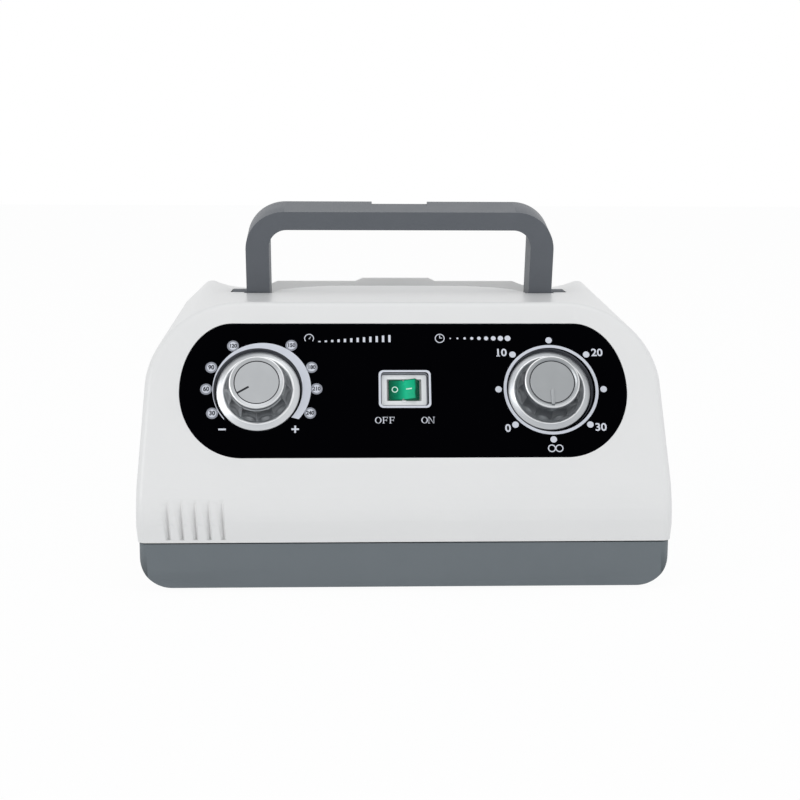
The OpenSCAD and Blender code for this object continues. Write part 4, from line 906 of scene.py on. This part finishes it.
for text, middle in (("OFF", -9.1 * mm), ("ON", 10.8 * mm)):
    for i, kind in enumerate(text):
        x = middle + (i - (len(text) - 1) / 2) * letter_pitch
        for corners in letter_bars[kind]:
            bar(*corners, x, letters_s)
        if kind == "N":
            printed(slant, x, letters_s)
        if kind == "O":
            inks.append(hoop("ink", oval(1.0 * mm, top - hair), oval(1.5 * mm, top), ink_low, ink_high,
                             face_frame(x, letters_s)))

# Small pictures: a gauge with rising bars over the pressure scale, a clock with growing dots over the timer's
gauge_x, clock_x, picture_s, picture_r, picture_hole_r = -44.5 * mm, 17.2 * mm, 81.3 * mm, 2.3 * mm, 1.9 * mm
ring_print(gauge_x, picture_s, picture_hole_r, picture_r, -40, 220, steps=40)
printed([(-0.3 * mm, -0.2 * mm), (0.1 * mm, -0.4 * mm), (1.2 * mm, 1.2 * mm)], gauge_x, picture_s)
rising_bar = prism("rising_bar", rectangle(-0.55 * mm, 0, 0.55 * mm, mm), ink_low, ink_high)
inks.append(in_row(rising_bar, 12, 3 * mm, pale_ink, face_frame(-23.1 * mm, picture_s - 1.9 * mm), 0.6, 3.6))
ring_print(clock_x, picture_s, picture_hole_r, picture_r, steps=48)
bar(-0.2 * mm, 0, 0.2 * mm, 1.5 * mm, clock_x, picture_s)
bar(0.2 * mm, 0, 1.1 * mm, 0.35 * mm, clock_x, picture_s)
growing_dot = prism("growing_dot", ring_outline(mm, 24), ink_low, ink_high)
inks.append(in_row(growing_dot, 9, 3.4 * mm, pale_ink, face_frame(clock_x + 18.6 * mm, picture_s), 0.35, 1.4, 1.0))
# An endless loop at the timer's lowest dot
for side in (-1, 1):
    ring_print((69.6 + side * 1.75) * mm, 26.6 * mm, 1.35 * mm, 1.85 * mm, steps=40)

add_piece("printing", together("printing", *inks), "case", finish=pale_ink)
add_piece("number_fields", together("number_fields", *mid_inks), "case", finish=mid_ink)
add_piece("numbers", together("numbers", *dark_inks), "case", finish=dark_ink)

# ---- Carry handle ----
# A U-shaped bow of grey plastic, square in section with rounded corners. Its two hubs sit on steel pins in the recess,
# which is long enough for it to lie back flat in the top of the case.

handle_out_r, handle_in_r, hub_l, hub_r = 19.5 * mm, 9 * mm, 7.4 * mm, 7 * mm
pin_r, notch_l, notch_depth, inside = 2.55 * mm, 28 * mm, 1.2 * mm, 0.02 * mm
handle_top = bar_reach + bar_t
inner_x = handle_x - leg_w
bow = ([(-handle_x, 0)] + [(-inner_x, 0)]
       + arc((-inner_x + handle_in_r, bar_reach - handle_in_r), handle_in_r, 180, 90, 24)
       + arc((inner_x - handle_in_r, bar_reach - handle_in_r), handle_in_r, 90, 0, 24) + [(inner_x, 0), (handle_x, 0)]
       + arc((handle_x - handle_out_r, handle_top - handle_out_r), handle_out_r, 0, 90, 32)
       + arc((-handle_x + handle_out_r, handle_top - handle_out_r), handle_out_r, 90, 180, 32))
across = Matrix.Rotation(math.radians(90), 4, "Y")
bow_mesh = prism("handle", bow, -handle_d / 2, handle_d / 2, upright)
ends = [prism("end", ring_outline((handle_d - inside) / 2, 96), x + inside, x + leg_w - inside, across)
        for x in (inner_x, -handle_x)]
hubs = [prism("hub", ring_outline(hub_r, 64), x, x + hub_l + mm, across) for x in (handle_x - mm, -handle_x - hub_l)]
bow_mesh = joined(bow_mesh, "UNION", *ends, *hubs)
bow_mesh = joined(bow_mesh, "DIFFERENCE", prism("bore", ring_outline(pin_r, 48), -0.1, -inner_x + 5 * mm, across),
                  prism("bore", ring_outline(pin_r, 48), inner_x - 5 * mm, 0.1, across),
                  block((-notch_l / 2, handle_d / 6, handle_top - notch_depth), (notch_l / 2, handle_d, 0.1)))


def handle_edge(a, b):
    """Full rounds, and slightly smaller ones under the hubs and at the bores."""
    middle = (a + b) / 2
    at_bore = max(abs(middle.y), abs(middle.z)) < pin_r + 0.2 * mm
    return 1.0 if middle.z > -5 * mm and not at_bore else 0.8


bow_mesh = soften(bow_mesh, 0.9 * mm, handle_edge, angle=40)
bow_mesh.attributes.remove(bow_mesh.attributes["custom_normal"])
bow_mesh.set_sharp_from_angle(angle=math.radians(30))
for face in bow_mesh.polygons:
    face.use_smooth = max(abs(part) for part in face.normal) < 0.9999
bow_mesh.transform(Matrix.Translation((0, pivot_y, pivot_z)) @ Matrix.Rotation(handle_lean, 4, "X"))
handle_grey = plain_finish("handle_moulding", (0.100, 0.109, 0.123), (0.114, 0.123, 0.138), 0.012, 0.38, 0.14,
                           (0.0005, 2, 0.00003, 0.6), IOR=1.46)
add_piece("handle_bow", bow_mesh, "handle", "carry_handle", handle_grey)

# ---- Knobs ----
# Two turned and brushed aluminium knobs. Each has a sloping skirt, a thin ridge with a painted highlight, a cone with
# twelve hollow flutes and a flat cap; the pressure knob's pointer is cut into the cap and the timer knob's stands on
# it.

skirt_r, skirt_t, lip_r, cap_r, knob_h = 19.6 * mm, 1.4 * mm, 16.6 * mm, 13 * mm, 13.4 * mm
knob_under, cap_t, flutes = -3.7 * mm, 3 * mm, 12
face_z, bottom_z = knob_h - 0.5 * mm, 3.6 * mm


def stations(r, z, *offsets):
    """Points of a profile, given in millimetres from a corner."""
    return [(r + dr * mm, z + dz * mm) for dr, dz in offsets]


cone_low, cone_high, cone_levels = (lip_r - 0.9 * mm, skirt_t + 0.4 * mm), (cap_r + 0.2 * mm, knob_h - cap_t), 14
cone = [[a + (b - a) * i / cone_levels for a, b in zip(cone_low, cone_high)] for i in range(1, cone_levels + 1)]
knob_profile = (
    [(1e-4, bottom_z), (4.5 * mm, bottom_z), (9.6 * mm, bottom_z), (9.6 * mm, 0)]
    + stations(skirt_r, 0, (-0.3, 0), (0, 0.3)) + stations(skirt_r, skirt_t, (0, -0.4), (-0.12, -0.12), (-0.4, 0))
    + stations(lip_r, skirt_t, (0.7, 0.62), (0.35, 0.85), (0, 1.0), (-0.35, 0.9), (-0.6, 0.5), (-0.9, 0.4)) + cone
    + stations(cap_r, knob_h - cap_t, (-0.1, 0.35), (0, 0.6))
    + stations(cap_r, knob_h, (0, -1.1), (-0.1, -0.7), (-0.3, -0.3), (-0.6, -0.05), (-0.9, 0), (-1.1, -0.04),
               (-2.45, -0.42))
    + stations(cap_r, face_z, (-2.55, -0.25), (-2.8, -0.25), (-2.9, 0), (-2.96, 0))
    + stations(0, face_z, (6, 0), (2, 0)))


def fluted(r, z, angle):
    """The radius of the cone where a flute, a slanting cylinder, cuts into it."""
    low, high = skirt_t + 0.45 * mm, knob_h - cap_t - 0.2 * mm
    if not low < z < high:
        return r
    reach = min((high - z) / mm, (z - low) / (2.4 * mm), 1.0)
    wide, step = 11 * mm, 2 * math.pi / flutes
    centre = r * math.cos(step / 2) + math.sqrt(wide ** 2 - (r * math.sin(step / 2)) ** 2)
    off = (angle % step) - step / 2
    cut = centre * math.cos(off) - math.sqrt(max(wide ** 2 - (centre * math.sin(off)) ** 2, 0))
    return r + (min(cut, r) - r) * reach


def knob_mesh(name, x, angle):
    steps = 288
    bm = bmesh.new()
    rings = []
    for r, z in knob_profile:
        ring = []
        for i in range(steps):
            a = 2 * math.pi * i / steps
            reach = fluted(r, z, a) if cap_r < r < lip_r else r
            ring.append(bm.verts.new((reach * math.cos(a), reach * math.sin(a), z)))
        rings.append(ring)
    for low, high in zip(rings, rings[1:]):
        for i in range(steps):
            bm.faces.new((low[i], low[(i + 1) % steps], high[(i + 1) % steps], high[i]))
    bm.faces.new(rings[0])
    bm.faces.new(rings[-1])
    mesh = mesh_of(bm, name, 38)
    if x < 0:
        cut = rectangle(4.2 * mm, -0.48 * mm, cap_r - 2.7 * mm, 0.48 * mm)
        mesh = joined(mesh, "DIFFERENCE", prism("cut", cut, face_z - 0.5 * mm, 0.1))
    else:
        pointer = prism("bar", plate(7.6 * mm, 1.7 * mm, 0.75 * mm), face_z - mm, face_z + 0.95 * mm,
                        Matrix.Translation((cap_r - 5.6 * mm, 0, 0)))
        mesh = together(name, mesh, soften(pointer, 0.35 * mm, above(face_z + 0.5 * mm)), smooth_angle=38)
    mesh.set_sharp_from_angle(angle=math.radians(38))
    mesh.transform(face_frame(x, panel_s, knob_under) @ Matrix.Rotation(math.radians(angle), 4, "Z"))
    return mesh


def brushed_metal(name, x, light, dark):
    """Turned metal: fine rings round the knob's own axis, with painted shade in the cap's groove and pointer cut, on
    the pointer bar's sides and in the flutes, a skirt painted lighter, and painted highlights on the ridge and the
    cap's rim.
    """
    metal = Finish(name, Metallic=1.0)
    spot, px, py, out = face_axes(metal, face_frame(x, panel_s))
    radius = (px * px + py * py) ** 0.5
    cap_out = knob_under + face_z
    on_cap = radius < 10.6 * mm
    # Painted shade: the cap's groove and the pointer's cut are coloured near black.
    hollow = on_cap * (out < cap_out - 0.04 * mm)
    # Painted shade on the sides of the timer knob's pointer bar.
    painted_shade_bar_side = on_cap * (out > cap_out + 0.05 * mm) * (out < cap_out + 0.6 * mm)
    # Painted shade in the flutes.
    painted_shade_in_flutes = (radius > 11 * mm) * (radius < 15.6 * mm) * (out < knob_under + knob_h - cap_t)
    # Painted light: the skirt is coloured lighter than the rest of the same metal.
    painted_light_on_skirt = radius > 15.9 * mm
    # Painted highlights: the ridge and the cap's rim are coloured near white.
    edges = ((radius > 16.2 * mm) * (radius < 16.95 * mm)
             + (radius > 12.1 * mm) * (radius < 12.75 * mm) * (out > knob_under + knob_h - 0.5 * mm))
    painted_shade_share = hollow * 0.95 + painted_shade_bar_side * 0.6 + painted_shade_in_flutes * 0.25
    rings = metal.node("TexNoise", {"Vector": metal.node("CombineXYZ", {"X": radius}), "Scale": 9000.0, "Detail": 2.0})
    cloud = metal.noise(spot, 0.006, 2)
    metal_colour_and_painted_light = metal.blend(cloud * 0.5 + rings * 0.5, dark, light)
    metal_colour_and_painted_light = metal.blend(painted_light_on_skirt, metal_colour_and_painted_light, tuple(1.3 * c for c in light))
    metal_colour_and_painted_light = metal.blend(edges * 0.7, metal_colour_and_painted_light, (0.90, 0.91, 0.92))
    metal.set("Base Color", metal.blend(painted_shade_share, metal_colour_and_painted_light, (0.03, 0.03, 0.035)))
    metal.set("Roughness", 0.24 + rings * 0.10 + cloud * 0.08)
    metal.bump(rings, 0.00001, 0.5)
    return metal


# The two knobs are the same aluminium; the pressure knob's colours are painted lighter and the timer knob's darker, as
# painted light and shade.
for kind, x, angle, light, dark in (("pressure", -knob_x, 210.5, (0.485, 0.50, 0.515), (0.395, 0.41, 0.425)),
                                    ("timer", knob_x, 270, (0.39, 0.405, 0.42), (0.31, 0.325, 0.335))):
    name = kind + "_knob_metal"
    add_piece(name, knob_mesh(name, x, angle), kind + "_control", kind + "_knob", brushed_metal(name, x, light, dark))

# ---- Power switch ----
# A snap-in rocker switch. The bezel is white nylon, and the rocker is clear green plastic, which a lamp inside lights
# up; its colour and faint glow are painted lighter and darker along its hollow top, with painted shade along its long
# sides. A ring stands on its off end and a stroke on its on end.

bezel_size, bezel_t, bezel_hole = (21 * mm, 15 * mm), 1.6 * mm, (16.2 * mm, 10.7 * mm)
switch_s, pivot_depth = panel_s + 0.3 * mm, 3.4 * mm
rocker_l, rocker_top_l, rocker_w, rocker_tilt = 15.2 * mm, 12.4 * mm, 10.3 * mm, math.radians(11)
at_switch = face_frame(0, switch_s, well_floor)
bezel = prism("bezel", plate(*bezel_size, 0.9 * mm), 0, bezel_t)
bezel = joined(bezel, "UNION", prism("body", plate(19 * mm, 12.8 * mm, 0.3 * mm), -20 * mm, 0.5 * mm))
bezel = joined(bezel, "DIFFERENCE", prism("hole", plate(*bezel_hole, 0.3 * mm), bezel_t - 12 * mm, through),
               prism("pivot_seat", ring_outline(1.3 * mm, 32), -6.6 * mm, 6.6 * mm,
                     Matrix.Translation((0, 0, bezel_t - pivot_depth)) @ upright))
cover_r, cover_y, cover_low, cover_high = 1.0 * mm, 5.2 * mm, bezel_t - 4 * mm, bezel_t + 0.25 * mm
bezel = joined(bezel, "UNION", *[prism("pivot_cover", ring_outline(cover_r, 32), cover_low, cover_high,
                                       Matrix.Translation((0, y, 0))) for y in (-cover_y, cover_y)])
bezel = soften(bezel, 0.35 * mm, above(bezel_t - 0.05 * mm))
bezel.transform(at_switch)
bezel_white = Finish("bezel_nylon", IOR=1.5)
spot = bezel_white.place()
cloud = bezel_white.noise(spot, 0.004, 2)
px, py = (axis.sum("ABSOLUTE") for axis in face_axes(bezel_white, at_switch)[1:3])
on_cover = (px < 1.05 * mm) * (py < 5.34 * mm)
nylon = bezel_white.blend(cloud, (0.74, 0.755, 0.765), (0.80, 0.81, 0.815))
bezel_white.set("Base Color", bezel_white.blend(on_cover, nylon, (0.16, 0.20, 0.18)))
bezel_white.set("Roughness", 0.32 + cloud * 0.1)
bezel_white.bump(bezel_white.noise(spot, 0.0005, 2), 0.00001, 0.5)
add_piece("switch_bezel", bezel, "case", "switch_body", bezel_white)

half, top_half = rocker_l / 2, rocker_top_l / 2
end_h, mid_h = 4.6 * mm, 3.55 * mm
hollow = [(top_half * t, mid_h + (end_h - mid_h) * abs(t) ** 1.5) for t in np.linspace(1, -1, 25)]
rocker_side = ([(half, mm)] + hollow + [(-half, mm), (-half + 2 * mm, -mm), (-2.4 * mm, -4 * mm), (2.4 * mm, -4 * mm),
                                        (half - 2 * mm, -mm)])
rocker_axis = well_floor + bezel_t - pivot_depth
rocker_place = face_frame(0, switch_s, rocker_axis) @ Matrix.Rotation(-rocker_tilt, 4, "Y")
rocker = prism("rocker", rocker_side[::-1], -rocker_w / 2, rocker_w / 2, upright)
rocker = soften(rocker, 0.35 * mm, above(1.2 * mm), angle=25)
pivot = prism("pivot", ring_outline(1.2 * mm, 32), -rocker_w / 2 - mm, rocker_w / 2 + mm, upright)
rocker = together("rocker", rocker, pivot)
rocker.transform(rocker_place)
green = Finish("green_rocker", IOR=1.49, Specular_IOR_Level=0.1, Emission_Strength=0.18)
px, py = face_axes(green, rocker_place)[1:3]
cloud = green.noise(green.place(), 0.003, 2)
# Painted light and shade along the rocker: dark at one end, brightest past the middle, with a dark band near the other
# end.
painted_light_and_shade = green.ramp(px / rocker_l + 0.5 + cloud * 0.06, (0.0, (0.0, 0.03, 0.015)), (0.10, (0.0, 0.075, 0.035)),
                 (0.34, (0.0, 0.17, 0.085)), (0.58, (0.01, 0.42, 0.22)), (0.84, (0.0, 0.33, 0.16)),
                 (0.89, (0.0, 0.06, 0.03)), (1.0, (0.0, 0.09, 0.045)))
# Painted shade along the rocker's long sides.
edge = py.sum("ABSOLUTE") > rocker_w / 2 - 0.55 * mm
shade = green.blend(edge * 0.85, painted_light_and_shade, (0.0, 0.06, 0.03))
green.set("Base Color", shade)
green.set("Roughness", 0.2 + cloud * 0.12)
# The glow takes the same painted light and shade.
green.set("Emission Color", shade)
green.bump(cloud, 0.00001, 0.3)
add_piece("rocker_cap", rocker, "rocker", "switch_rocker", green)


def on_rocker(mark, x):
    """Sets a mark on the rocker's hollow top, a little proud of it."""
    share = abs(x / top_half)
    height = mid_h + (end_h - mid_h) * share ** 1.5
    slope = 1.5 * (end_h - mid_h) / top_half * share ** 0.5 * (1 if x > 0 else -1)
    lean = Matrix.Rotation(-math.atan(slope), 4, "Y")
    mark.transform(rocker_place @ Matrix.Translation((x, 0.3 * mm, height)) @ lean)
    return mark


mark_low, mark_high = -0.3 * mm, 0.06 * mm
ring_mark = hoop("ring", ring_outline(1.05 * mm, 48), ring_outline(1.5 * mm, 48), mark_low, mark_high)
stroke_mark = prism("stroke", plate(2.9 * mm, 0.55 * mm, 0.2 * mm), mark_low, mark_high)
marks = together("marks", on_rocker(ring_mark, -3.6 * mm), on_rocker(stroke_mark, 3.1 * mm))
mark_white = even_ink("switch_mark", (0.55, 0.8, 0.68), (0.65, 0.88, 0.78))
add_piece("switch_marks", marks, "rocker", finish=mark_white)

# ---- Back fittings ----
# The hose outlets are four smooth sockets in one dark nylon plate; the mains inlet is a black moulding with a deep
# hollow round three contacts. Both plates lie flush in shallow pockets of the back wall.

outlet_r, outlet_depth, outlet_wall, tail_r = 4 * mm, 14 * mm, 1.6 * mm, 2.2 * mm


def outlet_row(name, radius, steps, low, high, **more):
    """A round form for each of the outlets."""
    return in_row(prism(name, ring_outline(radius, steps), low, high), outlet_count, outlet_pitch, **more)


outlets = prism("outlets", plate(*outlet_plate, plate_r), -plate_depth, 0)
outlets = joined(outlets, "UNION", outlet_row("socket", outlet_r + outlet_wall, 64, -outlet_depth - 2 * mm, -mm))
outlets = joined(outlets, "DIFFERENCE", outlet_row("bore", outlet_r, 64, -outlet_depth, mm))
outlets = soften(outlets, 0.45 * mm, above(-0.05 * mm))
outlets.transform(at_outlet)
dark_nylon = plain_finish("dark_nylon", (0.030, 0.031, 0.034), (0.048, 0.050, 0.054), 0.006, 0.42,
                          surface=(0.0006, 2, 0.00003, 0.6), IOR=1.5)
tails = outlet_row("tail", tail_r, 32, -outlet_depth - 10 * mm, -outlet_depth - mm, finish=dark_nylon, place=at_outlet)
add_piece("hose_outlets", together("outlets", outlets, tails), "case", "outlet_socket", dark_nylon)

inlet = prism("inlet", plate(*inlet_plate, plate_r), -plate_depth, 0)
inlet = joined(inlet, "UNION", prism("box", plate(*inlet_box, 0.6 * mm), -18 * mm, -mm))
hollow_outline = [(x * mm, y * mm) for x, y in (
    (-12.2, -8.3), (12.2, -8.3), (12.2, 4.6), (8.6, 8.3), (-8.6, 8.3), (-12.2, 4.6))]
inlet = joined(inlet, "DIFFERENCE", prism("hollow", hollow_outline, -16 * mm, mm))
inlet = soften(inlet, 0.45 * mm, above(-0.05 * mm))
inlet.transform(at_inlet)
add_piece("inlet_housing", inlet, "case", "mains_inlet", dark_nylon)

# ---- Everything inside, and the small metal parts ----
# The pump, the valve, the hoses and the electrical parts show only through the vents and in an opened case. Each
# keeps its solid and gets the finish of its real material.

steel = plain_finish("zinc_steel", (0.48, 0.49, 0.50), (0.62, 0.62, 0.63), 0.002, 0.28, Metallic=1.0)
brass = plain_finish("brass", (0.62, 0.43, 0.18), (0.74, 0.54, 0.26), 0.003, 0.26, Metallic=1.0)
white_nylon = plain_finish("white_nylon", (0.70, 0.70, 0.67), (0.78, 0.78, 0.75), 0.006, 0.4)
vinyl = plain_finish("clear_vinyl", (0.56, 0.58, 0.58), (0.66, 0.68, 0.68), 0.004, 0.25)
iron = plain_finish("stamped_iron", (0.10, 0.10, 0.105), (0.17, 0.17, 0.175), 0.001, 0.45, Metallic=1.0)
copper = plain_finish("enamelled_copper", (0.42, 0.13, 0.05), (0.58, 0.22, 0.10), 0.0008, 0.3, Metallic=1.0)
frame_alloy = plain_finish("cast_alloy", (0.42, 0.43, 0.44), (0.52, 0.53, 0.54), 0.004, 0.42, Metallic=1.0)
red_cover = plain_finish("wire_cover", (0.32, 0.02, 0.015), (0.42, 0.03, 0.02), 0.004, 0.35)
glass = plain_finish("fuse_glass", (0.60, 0.64, 0.64), (0.70, 0.74, 0.74), 0.01, 0.08)
inner_finishes = {
    steel: ("case_screws", "handle_pins", "regulator_nut", "timer_nut", "pump_armature", "distributor_motor",
            "distributor_shaft", "cover_screws", "inlet_pins"),
    brass: ("pressure_spindle", "timer_spindle", "pressure_regulator", "switch_terminals"),
    white_nylon: ("timer_case", "pump_heads", "distributor_body", "distributor_rotor", "distributor_cover", "air_block",
                  "terminal_block"),
    vinyl: ("pump_hoses", "feed_hoses", "outlet_hoses"),
    iron: ("pump_cores",),
    copper: ("pump_coils",),
    frame_alloy: ("pump_frame",),
    rubber: ("pump_mounts", "pump_diaphragms"),
    red_cover: ("wiring",),
    glass: ("fuse",),
}
for finish, names in inner_finishes.items():
    for name in names:
        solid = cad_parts[name]
        if not solid.material_slots:
            solid.data.materials.append(finish.material)
        for slot in solid.material_slots:
            slot.material = finish.material

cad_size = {"cad": case_box, "visual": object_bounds()}
json.loads(json.dumps(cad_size, default=list))
